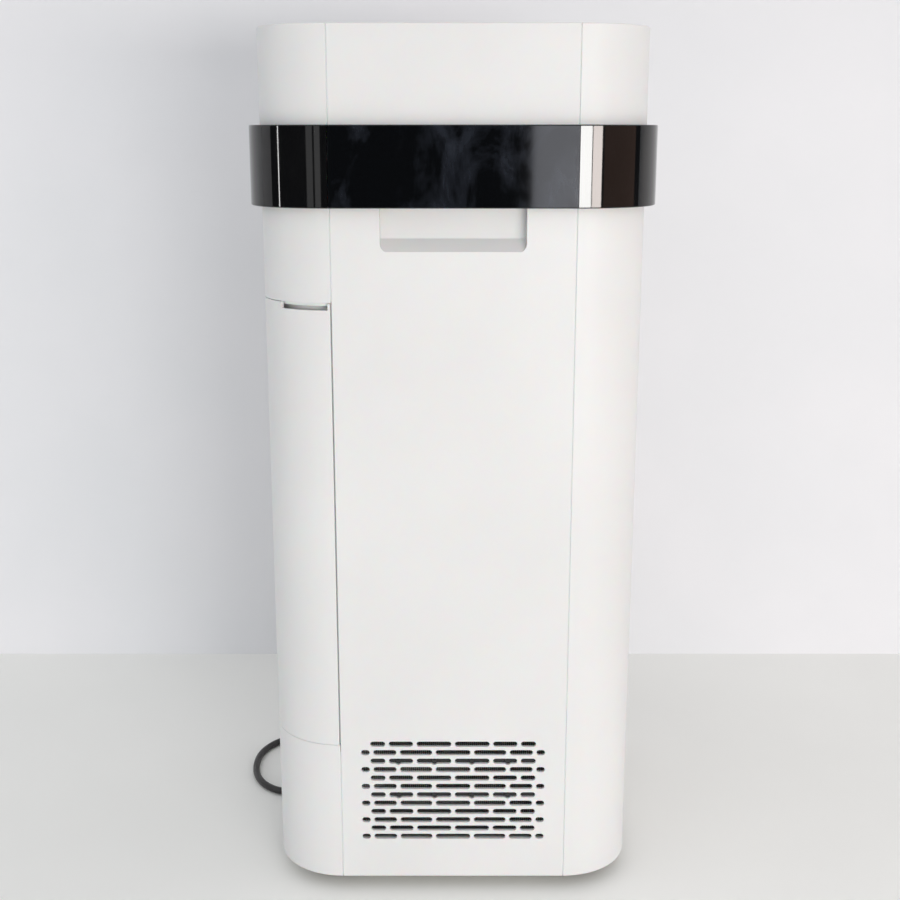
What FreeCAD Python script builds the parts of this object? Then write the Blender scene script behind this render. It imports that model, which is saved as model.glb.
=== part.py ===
"""Tower air purifier, modelled piece by piece and written as one STEP file per piece.

Millimetres. +Z is up, the front faces -Y, and the origin lies on the floor under the middle of the body.
Air comes in low at the front and rear, rises through a stack of four drawers (pre-filter, ioniser,
collector cell, carbon filter), is pulled on by a centrifugal fan and leaves through the top.
"""
import FreeCAD, Part
import functools
import math
import os

V = FreeCAD.Vector
X_AXIS = V(1, 0, 0)
Y_AXIS = V(0, 1, 0)
Z_AXIS = V(0, 0, 1)

# ---------------------------------------------------------------- driving dimensions
# Body
BODY_WIDTH = 320.0
BODY_DEPTH = 300.0
BODY_HEIGHT = 735.0
CORNER_RADIUS = 61.0
GROUND_GAP = 13.0  # floor to the underside, set by the casters
SKIN = 3.0  # wall of the outer panels
RIM_ROUND = 1.2  # rounding of the body's top and bottom edges
SEAM_ROUND = 0.5  # rounding of a panel's edge along a seam
SEAM = 0.4  # visible gap between two outer panels
COVER_SEAM = 0.9  # wider gap between the corner cover and the front panel
FIT = 0.3  # clearance of a piece that sits inside another
THIN_WALL = 2.5  # inner mouldings
OVER = 1.0  # how far a cut runs past the face it opens

# Band round the head
BAND_DROP = 76.6  # top of the body to the band's top edge
BAND_HEIGHT = 64.4
BAND_PROUD = 9.0
BAND_WALL = 2.8
BAND_FIT = 0.2
BAND_ROUND = 0.9

# Intake slots: rows of round-ended slots, set like brickwork
SLOT_HEIGHT = 5.0
SLOT_PITCH = 8.15
SLOT_GAP = 3.1
SLOT_ROWS = 12
SLOT_RISE = 3.0  # base pan's top to the middle of the lowest row
ODD_ROW = (30.6, 21.4, 13.2)  # from the middle outwards, a gap on the centre line
EVEN_ROW = (30.7, 28.4, 20.4, 7.6)  # from the middle outwards, the first one centred

# Insect screen behind the front slots
SCREEN_ROWS = (3, 7)  # rows, from the top, whose lower edge is notched for the screen's pegs
SCREEN_PEGS = (16.5, 48.3)
NOTCH_RADIUS = 3.1
NOTCH_SINK = 1.1  # how far a notch reaches under its slot
PEG_PLAY = 0.8
SCREEN_INSET = 13.0  # seam to the screen's side
SCREEN_THICK = 1.5
SCREEN_LOW = 1.0  # lowest slot's upper edge to the screen's foot
SCREEN_HIGH = 2.0  # top slot's upper edge to the screen's head
PEG_SET = 1.0  # a peg's end lies this far behind the panel's face

# Hand scoop at the top of the front and rear panels
SCOOP_WIDTH = 118.0
SCOOP_HEIGHT = 34.5
SCOOP_DEPTH = 12.0
SCOOP_RAMP = 10.0
SCOOP_CORNER = 8.0

# Ribs on the back of the front panel
RIB = 2.0
RIB_DEPTH = 3.0
RIB_INSET = 5.0  # ledge to an upright rib
RUNGS = 5
RIBS_ABOVE_SLOTS = 6.0
RIBS_BELOW_SCOOP = 12.0

# Corner cover, front left
COVER_RISE = 128.5  # underside of the body to the opening's foot
COVER_DROP = 75.6  # top of the front panel to the opening's head
COVER_TOP_GAP = 0.6
NOTCH_HEIGHT = 5.4
NOTCH_FROM = 2.8  # degrees round the corner from the front
NOTCH_TO = 44.6
HOOK_ANGLES = (205, 245)
HOOK_DROP = 5.0  # cover's lower edge to a hook's foot
HOOK_HEIGHT = 11.0
HOOK_WIDTH = 10.0
HOOK_BACK = 3.0  # cover's inside to a hook's back
HOOK_GAP = 0.5  # cover's inside to a hook's front
HOOK_STEM = (6.0, 9.0)  # foot of a hook to its stem's two faces

# Pocket behind the corner cover, and the particle sensor at its head
OPENING_PLAY = 0.5
BAY_WALL = 2.2
BAY_DEPTH = 15.0  # corner arc's centre to the pocket's side wall
BAY_FLOOR = 9.0
BAY_SKIN_GAP = 0.8  # outer panel to the pocket
BAY_STRIP = 6.0
CURTAIN_INSET = 8.0
CURTAIN_DROP = 34.0
SENSOR_SIZE = (28.0, 22.0)
SENSOR_PLACE = (32.0, 18.0)  # from the seams to its near corner
SENSOR_MOUTH = (9.0, 5.0, 6.0)  # along the face, radius, depth
SENSOR_LENS = (22.0, 2.5, 4.0)

# Front panel fixings
LANDING = 8.0  # width of the ledge behind a panel's edge
LEDGE = 2.0  # its thickness
MAGNET_RADIUS = 3.0
MAGNET_THICK = 1.8
MAGNET_INSET = 4.0  # seam to the axis of a magnet or a rear screw
MAGNET_LOW = 90.0  # underside of the body to the lower magnets
MAGNET_DROP = 20.0  # panel's top to the upper magnets
LEDGE_END = 1.0  # base pan to the ledges
LEDGE_DROP = 2.0  # head's skirt to the ledges
TAB_WIDTH = 16.0
TAB_THICK = 3.0
TAB_REACH = 10.0
TAB_SPREAD = 58.0
TAB_RISE = 10.0  # underside of the body to the tabs
TAB_SLOT = 15.0

# Base and casters
PAN_FLOOR = 3.0
WELL_PLAY = 1.7  # wheel's widest swing to the well wall
WELL_MARGIN = 9.0  # well wall to the pan's rounded corner
WHEEL_RADIUS = 17.0
WHEEL_WIDTH = 14.0
WHEEL_CLEAR = 2.5  # wheel to the fork's crown
CROWN_HEIGHT = 9.9
CROWN_PLAY = 0.6  # crown to the well's roof
CHEEK_GAP = 0.7
CHEEK_THICK = 2.5
CASTER_TRAIL = 12.0
SOCKET_LENGTH = 14.0
STEM_RADIUS = 4.0
AXLE_RADIUS = 2.5
FLANGE_RADIUS = 12.0
FLANGE_THICK = 2.0
STEM_PLAY = 2.0  # stem's end to the socket's end
CROWN_RADIUS = 11.0
CHEEK_BACK = 8.0  # swivel axis to a cheek's rear edge
CHEEK_HEAD = 2.0  # axle to a cheek's front edge at the crown
CHEEK_EYE = 6.0  # half width of a cheek round the axle
RIM_DEPTH = 5.5  # tread to the wheel's web
WEB_SINK = 3.0
HUB_WALL = 2.5
WHEEL_DRAFT = 0.5
TREAD_CHAMFER = (2.0, 2.2)
RUNNING_GAP = 0.05
PAN_RIBS = (-60.0, -20.0, 45.0)
PAN_RIB_HALF = 60.0
PAN_RIB_HIGH = 12.0
CHANNEL_END = 12.0  # gland's face to the end of the channel's block
GLAND_BORE = 6.0
GLAND_ROOM = 20.0  # depth of the gland's hole

# Drawer stack
LEDGE_CLEAR = 0.8  # drawer's side to the ledges it passes on its way out
BAY_SETBACK = 10.0  # front face to the housing's front edge
REAR_ROOM = 32.0  # housing's inside rear to the rear face, for the electrics
TRAY_GAP = 1.0  # each side of a drawer
SHELF = 2.5
STACK_RISE = 106.0  # base pan's top to the first shelf's top
DRAWER_AIR = 2.0  # drawer to the shelf above it
RAIL = 7.0  # width of a drawer's rail
INTAKE_SILL = 6.0
INTAKE_SIDE = 8.0
TRAY_SET = 1.0  # housing's front edge to a drawer's
TRAY_BACK = 2.0
RIM = 7.0
BAR_WIDTH = 3.0
BAR_HEIGHT = 4.0
PULL_WIDTH = 48.0
PULL_WALL = 2.5
PULL_EDGE = 3.0
PREFILTER_HEIGHT = 15.0
MESH_THICK = 1.2
IONISER_HEIGHT = 27.0
WIRE_LEVEL = 0.6  # share of the ioniser drawer's height
COLLECTOR_HEIGHT = 200.0
CASE_SIDE = 4.0
CASE_FRONT = 14.0
CASE_REAR = 5.0
GRIP_WIDTH = 90.0
GRIP_HEIGHT = 32.0
GRIP_DEPTH = 11.0
GRIP_BAR = (92.0, 4.0, 10.0)
PLATE_END = 6.0
PLATE_SIDE = 8.0
CARBON_HEIGHT = 28.0
CARBON_SINK = 1.0
PLATE_PITCH = 7.6
PLATE_THICK = 0.8
WIRE_RADIUS = 0.5
WIRE_COUNT = 9

# Fan
IMPELLER_GAP = 9.5  # impeller's rim to the duct's side
IMPELLER_HEIGHT = 76.0
EYE_MARGIN = 28.0  # impeller's rim to its inlet
BELL_FLARE = 9.0
BELL_HEIGHT = 8.0
BLADE_COUNT = 9
BLADE_ROOT = 0.72  # share of the inlet's radius
BLADE_TIP = 1.0  # impeller's rim to a blade's tip
BLADE_SWEEP = (17.0, 46.0)  # degrees back at the blade's middle and tip
BLADE_ANGLE = 2.0  # a blade's thickness in degrees
HUB_PLATE = 3.0
SHROUD = 3.0
SHROUD_GAP = 1.5  # inlet ring to the shroud
BOSS_HEIGHT = 30.0
NUT_HEIGHT = 7.0
SHAFT_END = 5.0  # how far the shaft stands out of the nut
DECK_PLATE = 3.0
IMPELLER_LIFT = 11.0  # fan deck to the impeller
INLET_LAP = 2.0  # how far the inlet ring reaches into the impeller
MOTOR_LIFT = 9.0  # impeller to the motor
SHAFT_RADIUS = 4.0
MOTOR_RADIUS = 44.0
MOTOR_LENGTH = 47.0
BEARING_RADIUS = 9.0
BEARING_WIDTH = 5.0
SHAFT_SET = 1.0  # motor's end to the shaft's
CAN_WALL = 2.0
STATOR_BORE = 26.0
STATOR_END = 4.0
ROTOR_RADIUS = 25.0
ROTOR_END = 5.0
MOUNT_THICK = 4.0
MOUNT_RIM = 6.0
MOUNT_ARM = 10.0
MOUNT_RING = 4.0  # motor can to the ring's edge
MOUNT_BORE = 20.0

# Head
TOP_LIP = 1.5  # rim above the top deck
DECK = 4.0
OUTLET_MARGIN = 42.0  # body's side to the outlet's side
OUTLET_STEP = 19.0  # body's corner radius less the outlet's
OUTLET_SLOT = 26.0
OUTLET_LIP = 5.0  # ledge that the grille lies on
OUTLET_EDGE = 12.0  # grille's edge to its first row
OUTLET_SIDE = 8.0
OUTLET_ROUND = 4.0
SHORTEST_SLOT = 1.3  # times its height
SKIRT = 12.0
SKIRT_LAP = 1.0
DIFFUSER_CORNER = 20.0
DIFFUSER_WALL = 4.0  # outlet's side to the diffuser's outside
DIFFUSER_GAP = 0.5

# Display behind the band's window
BOARD_THICK = 1.6
DISPLAY_WIDTH = 164.0
DISPLAY_HEIGHT = 44.0
DIGITS = (-15.0, 0.0, 15.0)
DIGIT_SIZE = (11.0, 3.0, 18.0)
LAMPS = (42.0, 56.0, 70.0)
LAMP_RADIUS = 4.0
LAMP_DEPTH = 2.0

# Electrics behind the filter housing
BOARD_RISE = 215.0
BOARD_HEIGHT = 118.0
BOARD_SPAN = (-75.0, 20.0)
BOARD_EDGE = 7.0
POST_RADIUS = 3.0
POST_LENGTH = 4.0
CAPACITORS = (-60.0, -46.0, -32.0)
CAPACITOR_RISE = 24.0
CAPACITOR_RADIUS = 5.0
CAPACITOR_LENGTH = 14.0
TRANSFORMER = (-20.0, 8.0, 12.0, 14.0, 36.0)  # x from, x to, depth, z from, z to on the board
PROCESSOR = (-62.0, -42.0, 1.5, 52.0, 72.0)
CONNECTOR = (-30.0, 10.0, 6.0, 92.0, 102.0)
SUPPLY_RISE = 345.0
POTTED_SPAN = (-70.0, -6.0)
POTTED_DEPTH = 20.0
POTTED_HEIGHT = 80.0
FOOT_REACH = 6.0
FOOT_THICK = 2.0
FEET = (4.0, 68.0)
FOOT_HEIGHT = 8.0
CASED_SPAN = (8.0, 76.0)
CASED_DEPTH = 21.0
CASED_HEIGHT = 84.0

# Rear panel fixings
SCREW_HEAD = 3.2
SCREW_SHANK = 1.4
SCREW_SINK = 1.5
SCREW_LENGTH = 6.0
SCREW_PLAY = 0.15
SCREW_LOW = 60.0  # underside of the body to the lowest screws
SCREW_DROP = 90.0  # front panel's top to the highest screws
SCREWS_A_SIDE = 4
SCREW_SET = 0.2  # head below the panel's face
DRIVE_WIDTH = 0.8
DRIVE_SPAN = 0.6  # share of the head's radius

# Mains switch, in the rear panel
SWITCH_X = 52.0
SWITCH_RISE = 177.0  # underside of the body to the switch's middle
SWITCH_HALF_X = 9.5
SWITCH_HALF_Z = 13.5
SWITCH_WALL = 2.0
SWITCH_DEPTH = 18.0
SWITCH_FLANGE = 2.0
SWITCH_FLANGE_THICK = 1.5
SWITCH_FLOOR = 4.0
ROCKER_TILT = 8.0
ROCKER_HORN = 3.2
ROCKER_CROWN = 1.0
ROCKER_SHOULDER = 2.5
ROCKER_KEEL = 3.0
ROCKER_KEEL_HALF = 4.0
PIVOT_SINK = 5.0
PIVOT_RADIUS = 1.5
PIVOT_REACH = 1.2  # how far each pivot pin goes into the housing's wall

# Mains cord: route points (x, y, z) of the lead's centre line from the strain relief to the coil
CORD_RADIUS = 3.5
GLAND_X = -82.0
GLAND_Y = 17.0
GLAND_Z = 21.0
RELIEF_LENGTH = 28.0
RELIEF_WALL = 0.8
RELIEF_ROOT = 6.2
RELIEF_GROOVES = 4
GROOVE_FIRST = 8.0
GROOVE_PITCH = 4.5
GROOVE_WIDTH = 1.3
GROOVE_BOTTOM = 4.6
GLAND_FLANGE = (8.0, 3.0)
GLAND_NECK = (5.8, 14.0)
CHANNEL_HALF = 12.0
CHANNEL_HEIGHT = 16.0
CORD_ROUTE = [
    (-110.0, 17.0, 21.0),
    (-130.0, 17.0, 21.0),
    (-150.0, 18.5, 10.5),
    (-172.0, 21.5, 3.8),
    (-193.0, 34.0, 3.6),
    (-206.5, 56.0, 3.6),
    (-211.5, 84.0, 3.6),
    (-209.5, 112.0, 3.6),
    (-197.0, 136.0, 3.6),
    (-174.0, 152.0, 3.6),
    (-143.0, 160.5, 3.6),
    (-108.0, 163.5, 3.7),
    (-75.0, 164.8, 4.2),
    (-46.0, 163.6, 4.7),
]
COIL_CENTRE = (-40.0, 212.0)
COIL_LIFT = 1.2
COIL_INNER = 30.5
COIL_OUTER = 51.5
COIL_HEIGHT = 14.2
TIE_WIDTH = 6.0
TIE_WALL = 0.8
TAIL_ROUTE = [
    (-27.6, 165.6, 11.9),
    (-3.0, 171.5, 8.6),
    (22.0, 176.0, 3.8),
    (47.0, 178.0, 5.2),
    (71.0, 180.0, 9.4),
]
PLUG_YAW = 5.0  # the plug's heading on the floor, degrees from +X
PLUG_GRIP = 2.0  # how far the lead goes into the plug's neck
NECK_LENGTH = 20.0
PLUG_LENGTH = 24.0
PLUG_HALF_WIDTH = 12.0
PLUG_HALF_HEIGHT = 9.0
NECK_WALL = 1.0
NECK_END = 6.5
BEND_SHARE = 0.45  # share of the shorter run that a bend takes up
COIL_ROUND = 3.0
BLADE_LENGTH = 16.0
BLADE_SPACING = 12.7
BLADE_WIDTH = 6.2
BLADE_THICK = 1.5

# ---------------------------------------------------------------- derived places
HALF_WIDTH = BODY_WIDTH / 2
HALF_DEPTH = BODY_DEPTH / 2
SEAM_X = HALF_WIDTH - CORNER_RADIUS
SEAM_Y = HALF_DEPTH - CORNER_RADIUS
UNDERSIDE = GROUND_GAP
BODY_TOP = UNDERSIDE + BODY_HEIGHT
BAND_TOP = BODY_TOP - BAND_DROP
BAND_BOTTOM = BAND_TOP - BAND_HEIGHT
PANEL_TOP = BAND_BOTTOM - SEAM
CROWN_LOW = 2 * WHEEL_RADIUS + WHEEL_CLEAR
WELL_ROOF = CROWN_LOW + CROWN_HEIGHT + CROWN_PLAY
BASE_TOP = WELL_ROOF + PAN_FLOOR
DECK_TOP = BODY_TOP - TOP_LIP
DECK_UNDER = DECK_TOP - DECK
COVER_FOOT = UNDERSIDE + COVER_RISE
COVER_HEAD = PANEL_TOP - COVER_DROP
CORNER = V(-SEAM_X, -SEAM_Y, 0)  # centre of the front left corner's arc
WELL_RADIUS = math.hypot(CASTER_TRAIL + WHEEL_RADIUS, WHEEL_WIDTH / 2) + WELL_PLAY
WELL_INSET = (CORNER_RADIUS - SKIN - FIT - WELL_RADIUS - WELL_MARGIN) / math.sqrt(2)
TRAY_HALF = SEAM_X - LANDING - LEDGE_CLEAR
BAY_HALF = TRAY_HALF + TRAY_GAP
BAY_FRONT = -HALF_DEPTH + BAY_SETBACK
BAY_REAR = HALF_DEPTH - REAR_ROOM
IMPELLER_RADIUS = BAY_HALF - IMPELLER_GAP
INLET_RADIUS = IMPELLER_RADIUS - EYE_MARGIN
OUTLET_HALF_X = HALF_WIDTH - OUTLET_MARGIN
OUTLET_HALF_Y = HALF_DEPTH - OUTLET_MARGIN
OUTLET_CORNER = CORNER_RADIUS - OUTLET_STEP
SWITCH_Z = UNDERSIDE + SWITCH_RISE
FAR = 1000.0

BAY_SIDE_Y = BAY_DEPTH - SEAM_Y
TRAY_FRONT = BAY_FRONT + TRAY_SET
TRAY_REAR = BAY_REAR - TRAY_BACK
REAR_Y = BAY_REAR + THIN_WALL
BAND_MIDDLE = (BAND_BOTTOM + BAND_TOP) / 2

PREFILTER_Z = BASE_TOP + STACK_RISE
IONISER_Z = PREFILTER_Z + PREFILTER_HEIGHT + 2 * FIT + SHELF + DRAWER_AIR
COLLECTOR_Z = IONISER_Z + IONISER_HEIGHT + 2 * FIT + SHELF + DRAWER_AIR
CARBON_Z = COLLECTOR_Z + COLLECTOR_HEIGHT + 2 * FIT + SHELF + DRAWER_AIR
HOUSING_TOP = CARBON_Z + CARBON_HEIGHT + 2 * FIT + DRAWER_AIR
FAN_DECK_TOP = HOUSING_TOP + DECK_PLATE
IMPELLER_Z = FAN_DECK_TOP + IMPELLER_LIFT
IMPELLER_TOP = IMPELLER_Z + IMPELLER_HEIGHT
MOTOR_Z = IMPELLER_TOP + MOTOR_LIFT
MOTOR_TOP = MOTOR_Z + MOTOR_LENGTH
MOUNT_TOP = MOTOR_TOP + MOUNT_THICK


# ---------------------------------------------------------------- small shape helpers
def box(x0, x1, y0, y1, z0, z1):
    """Block between two corners."""
    return Part.makeBox(x1 - x0, y1 - y0, z1 - z0, V(x0, y0, z0))


def rod(radius, length, foot, axis=Z_AXIS):
    """Solid cylinder standing on foot."""
    return Part.makeCylinder(radius, length, V(*foot), axis)


def pipe(outer, inner, length, foot, axis=Z_AXIS):
    """Hollow cylinder standing on foot."""
    return rod(outer, length, foot, axis).cut(rod(inner, length, foot, axis))


def prism(points, reach):
    """Closed polygon swept straight along reach."""
    wire = Part.makePolygon([V(*p) for p in points] + [V(*points[0])])
    return Part.Face(wire).extrude(V(*reach))


def fuse(shapes):
    """One solid from several that touch or overlap."""
    whole = shapes[0].multiFuse(shapes[1:]) if len(shapes) > 1 else shapes[0]
    return whole.removeSplitter()


def rounded_wire(half_x, half_y, radius, z):
    """Rounded rectangle round the Z axis: four arcs and the straight edges between them."""
    edges = []
    corners = []
    for quarter in range(4):
        middle = math.radians(45 + 90 * quarter)
        cx = math.copysign(half_x - radius, math.cos(middle))
        cy = math.copysign(half_y - radius, math.sin(middle))
        angles = (middle - math.pi / 4, middle, middle + math.pi / 4)
        corners.append([V(cx + radius * math.cos(a), cy + radius * math.sin(a), z) for a in angles])
    for quarter, corner in enumerate(corners):
        edges.append(Part.Arc(*corner).toShape())
        after = corners[(quarter + 1) % 4][0]
        if corner[2].distanceToPoint(after) > 1e-6:
            edges.append(Part.makeLine(corner[2], after))
    return Part.Wire(edges)


def rounded_prism(half_x, half_y, radius, z0, z1):
    """Upright prism on a rounded rectangle."""
    return Part.Face(rounded_wire(half_x, half_y, radius, z0)).extrude(V(0, 0, z1 - z0))


def body_prism(inset, z0, z1):
    """The body's plan drawn in by inset, from z0 up to z1."""
    return rounded_prism(HALF_WIDTH - inset, HALF_DEPTH - inset, CORNER_RADIUS - inset, z0, z1)


def body_skin(outer, inner, z0, z1):
    """Ring of the body's plan between two insets."""
    return body_prism(outer, z0, z1).cut(body_prism(inner, z0, z1))


@functools.cache
def outer_skin():
    """The body's whole outer skin, its top and bottom edges rounded."""
    solid = body_prism(0, UNDERSIDE, BODY_TOP)
    edges = [e for e in solid.Edges if all(abs(v.Z - e.Vertexes[0].Z) < 1e-6 for v in e.Vertexes)]
    return solid.makeFillet(RIM_ROUND, edges).cut(body_prism(SKIN, 0, FAR))


def round_seams(panel, seam_x):
    """Rounds a panel's long outer edges where it meets its neighbours at the front and rear seams."""
    chosen = []
    for edge in panel.Edges:
        ends = edge.Vertexes
        if len(ends) < 2 or abs(ends[0].Z - ends[1].Z) < 50:
            continue
        if all(abs(abs(v.X) - seam_x) < 1e-3 and abs(abs(v.Y) - HALF_DEPTH) < 1e-3 for v in ends):
            chosen.append(edge)
    return panel.makeFillet(SEAM_ROUND, chosen)


def slot_wire(x, z, width, height, y):
    """Round-ended slot in the XZ plane."""
    r = height / 2
    left = x - width / 2 + r
    right = x + width / 2 - r
    return Part.Wire(
        [
            Part.makeLine(V(left, y, z - r), V(right, y, z - r)),
            Part.Arc(V(right, y, z - r), V(right + r, y, z), V(right, y, z + r)).toShape(),
            Part.makeLine(V(right, y, z + r), V(left, y, z + r)),
            Part.Arc(V(left, y, z + r), V(left - r, y, z), V(left, y, z - r)).toShape(),
        ]
    )


def row_slots(widths, centred):
    """(x, width) of each slot in a row, from the middle outwards, as far as the panel has room."""
    room = SEAM_X - 2 * LANDING
    slots = []
    edge = -widths[0] / 2 if centred else SLOT_GAP / 2
    for number, width in enumerate(widths):
        x = edge + width / 2
        if edge + width > room:
            break
        slots.append((x, width))
        if not (centred and number == 0):
            slots.append((-x, width))
        edge += width + SLOT_GAP
    return slots


def centre_panel(z0, z1):
    """The skin's flat front between the two seams, from z0 up to z1."""
    half = SEAM_X - SEAM / 2
    panel = outer_skin().common(box(-half, half, -FAR, 0, z0, z1))
    return round_seams(panel, half)


def slotted_panel(top):
    """Centre panel up to a height, with its intake slots."""
    slots = []
    for x, z, width in intake_slots():
        slots.append(Part.Face(slot_wire(x, z, width, SLOT_HEIGHT, -HALF_DEPTH)).extrude(V(0, SKIN, 0)))
    return centre_panel(UNDERSIDE, top).cut(Part.makeCompound(slots))


def intake_slots():
    """(x, z, width) of every intake slot, top row first."""
    slots = []
    for row in range(SLOT_ROWS):
        widths = EVEN_ROW if row % 2 else ODD_ROW
        slots += [(x, slot_row_z(row + 1), width) for x, width in row_slots(widths, bool(row % 2))]
    return slots


def slot_row_z(row):
    """Height of a row of slots, counted from the top, the top one being row 1."""
    return BASE_TOP + SLOT_RISE + (SLOT_ROWS - row) * SLOT_PITCH


def peg_places():
    """(x, z) of the insect screen's pegs, at the lower edges of two rows of slots."""
    sink = SLOT_HEIGHT / 2 + NOTCH_SINK - NOTCH_RADIUS
    return [(side * x, slot_row_z(row) - sink) for row in SCREEN_ROWS for x in SCREEN_PEGS for side in (-1, 1)]


def intake_screen():
    """Fine insect screen behind the front slots, held by pegs in the notches."""
    y = -HALF_DEPTH + SKIN
    low = slot_row_z(SLOT_ROWS) + SLOT_HEIGHT / 2 + SCREEN_LOW
    high = slot_row_z(1) + SLOT_HEIGHT / 2 + SCREEN_HIGH
    half = SEAM_X - SCREEN_INSET
    screen = box(-half, half, y, y + SCREEN_THICK, low, high)
    pegs = [rod(NOTCH_RADIUS - PEG_PLAY, SKIN, (x, y - SKIN + PEG_SET, z), Y_AXIS) for x, z in peg_places()]
    return fuse([screen] + pegs)


def turned_to_rear(shape):
    """A front piece turned half a turn about Z, so that it faces the rear."""
    turned = shape.copy()
    turned.rotate(V(0, 0, 0), Z_AXIS, 180)
    return turned


def rounded_block_xz(half_x, z0, z1, radius, y0, y1):
    """Block whose two lower corners, seen from the front, are rounded."""
    block = box(-half_x, half_x, y0, y1, z0, z1)
    lower = [
        e for e in block.Edges
        if all(abs(v.Z - z0) < 1e-6 for v in e.Vertexes) and abs(e.Vertexes[0].X - e.Vertexes[1].X) < 1e-6
    ]
    return block.makeFillet(radius, lower)


# ---------------------------------------------------------------- outer panels
def scoop(panel):
    """Hand scoop let into a panel's top edge: a flat back, a sloping floor and rounded lower corners."""
    front = -HALF_DEPTH
    back = front + SCOOP_DEPTH
    low = PANEL_TOP - SCOOP_HEIGHT
    half = SCOOP_WIDTH / 2
    wall = THIN_WALL
    corner = SCOOP_CORNER + wall
    shell = rounded_block_xz(half + wall, low - wall, PANEL_TOP, corner, front + SKIN / 2, back + wall)
    profile = [
        (-FAR, front - OVER, low - OVER),
        (-FAR, front - OVER, PANEL_TOP + OVER),
        (-FAR, back, PANEL_TOP + OVER),
        (-FAR, back, low + SCOOP_RAMP),
        (-FAR, front, low),
    ]
    hollow = prism(profile, (2 * FAR, 0, 0)).common(
        rounded_block_xz(half, low - OVER, PANEL_TOP + OVER, SCOOP_CORNER, front - OVER, back + OVER)
    )
    return panel.fuse(shell).cut(hollow)


def panel_ribs(z0, z1):
    """Low ribs on the back of a panel: two uprights and a few rungs."""
    y0 = -HALF_DEPTH + SKIN / 2
    y1 = -HALF_DEPTH + SKIN + RIB_DEPTH
    side = SEAM_X - LANDING - RIB_INSET
    half = RIB / 2
    ribs = [box(s * side - half, s * side + half, y0, y1, z0, z1) for s in (-1, 1)]
    for number in range(RUNGS):
        z = z0 + (z1 - z0) * number / (RUNGS - 1)
        ribs.append(box(-side, side, y0, y1, z - half, z + half))
    return ribs


def magnet_places():
    """(x, z) of the four magnets behind the front panel's edges."""
    heights = (UNDERSIDE + MAGNET_LOW, PANEL_TOP - MAGNET_DROP)
    return [(side * (SEAM_X - MAGNET_INSET), z) for z in heights for side in (-1, 1)]


def front_panel():
    """Pull-off front panel with the intake slots, the hand scoop, two locating tabs and magnet pockets."""
    panel = slotted_panel(PANEL_TOP)
    for x, z in peg_places():
        panel = panel.cut(rod(NOTCH_RADIUS, SKIN, (x, -HALF_DEPTH, z), Y_AXIS))
    ribs_low = slot_row_z(0) + RIBS_ABOVE_SLOTS
    panel = fuse([panel] + panel_ribs(ribs_low, PANEL_TOP - SCOOP_HEIGHT - RIBS_BELOW_SCOOP))
    panel = scoop(panel)
    for side in (-1, 1):
        x = side * TAB_SPREAD
        y0 = -HALF_DEPTH + SKIN / 2
        z = UNDERSIDE + TAB_RISE
        panel = panel.fuse(box(x - TAB_WIDTH / 2, x + TAB_WIDTH / 2, y0, y0 + TAB_REACH, z, z + TAB_THICK))
    for x, z in magnet_places():
        face = -HALF_DEPTH + SKIN - MAGNET_THICK
        panel = panel.cut(rod(MAGNET_RADIUS, MAGNET_THICK + OVER, (x, face, z), Y_AXIS))
    return panel


def panel_magnets():
    """Disc magnets let into the back of the front panel."""
    y = -HALF_DEPTH + SKIN - MAGNET_THICK
    return [rod(MAGNET_RADIUS, MAGNET_THICK, (x, y, z), Y_AXIS) for x, z in magnet_places()]


def magnet_strikes():
    """Steel discs let into the ledges that face the magnets."""
    y = -HALF_DEPTH + SKIN + FIT
    return [rod(MAGNET_RADIUS, LEDGE / 2, (x, y, z), Y_AXIS) for x, z in magnet_places()]


def ledge(side, front, z0, z1):
    """Ledge behind a centre panel's edge, joined to the side shell by a short web."""
    y_face = HALF_DEPTH - SKIN - FIT
    y_root = HALF_DEPTH - SKIN / 2
    x_in = SEAM_X - LANDING
    x_web = SEAM_X + SEAM / 2
    x_out = x_web + THIN_WALL
    strip = box(x_in, x_out, y_face - LEDGE, y_face, z0, z1)
    web = box(x_web, x_out, y_face - LEDGE, y_root, z0, z1)
    piece = strip.fuse(web)
    if side < 0:
        piece = piece.mirror(V(0, 0, 0), X_AXIS)
    if front:
        piece = piece.mirror(V(0, 0, 0), Y_AXIS)
    return piece


def side_shell(side):
    """Wrap-around side panel, from the front seam round to the rear seam; side is -1 left, 1 right."""
    edge = SEAM_X + SEAM / 2
    half = box(edge, FAR, -FAR, FAR, 0, FAR) if side > 0 else box(-FAR, -edge, -FAR, FAR, 0, FAR)
    ledge_low = BASE_TOP + LEDGE_END
    ledge_high = DECK_UNDER - SKIRT - LEDGE_DROP
    pieces = [round_seams(outer_skin().common(half), edge), ledge(side, False, ledge_low, ledge_high)]
    if side > 0:
        pieces.append(ledge(side, True, ledge_low, ledge_high))
    else:
        pieces.append(ledge(side, True, ledge_low, COVER_FOOT - OPENING_PLAY))
        pieces.append(ledge(side, True, COVER_HEAD + OPENING_PLAY, ledge_high))
    shell = fuse(pieces)
    if side < 0:
        window = box(-FAR, -edge + OVER, -FAR, -SEAM_Y, COVER_FOOT, COVER_HEAD)
        shell = shell.cut(window).cut(cord_way())
    for x, z in magnet_places():
        if x * side > 0:
            shell = shell.cut(rod(MAGNET_RADIUS, LEDGE / 2, (x, -HALF_DEPTH + SKIN + FIT, z), Y_AXIS))
    for x, z in rear_screw_places():
        if x * side > 0:
            shell = shell.cut(rod(SCREW_SHANK + SCREW_PLAY, FAR, (x, 0, z), Y_AXIS))
    return shell


def front_upper_panel():
    """Fixed front plate above the front panel; the band and its display sit on it."""
    return centre_panel(BAND_BOTTOM, BODY_TOP)


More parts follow.
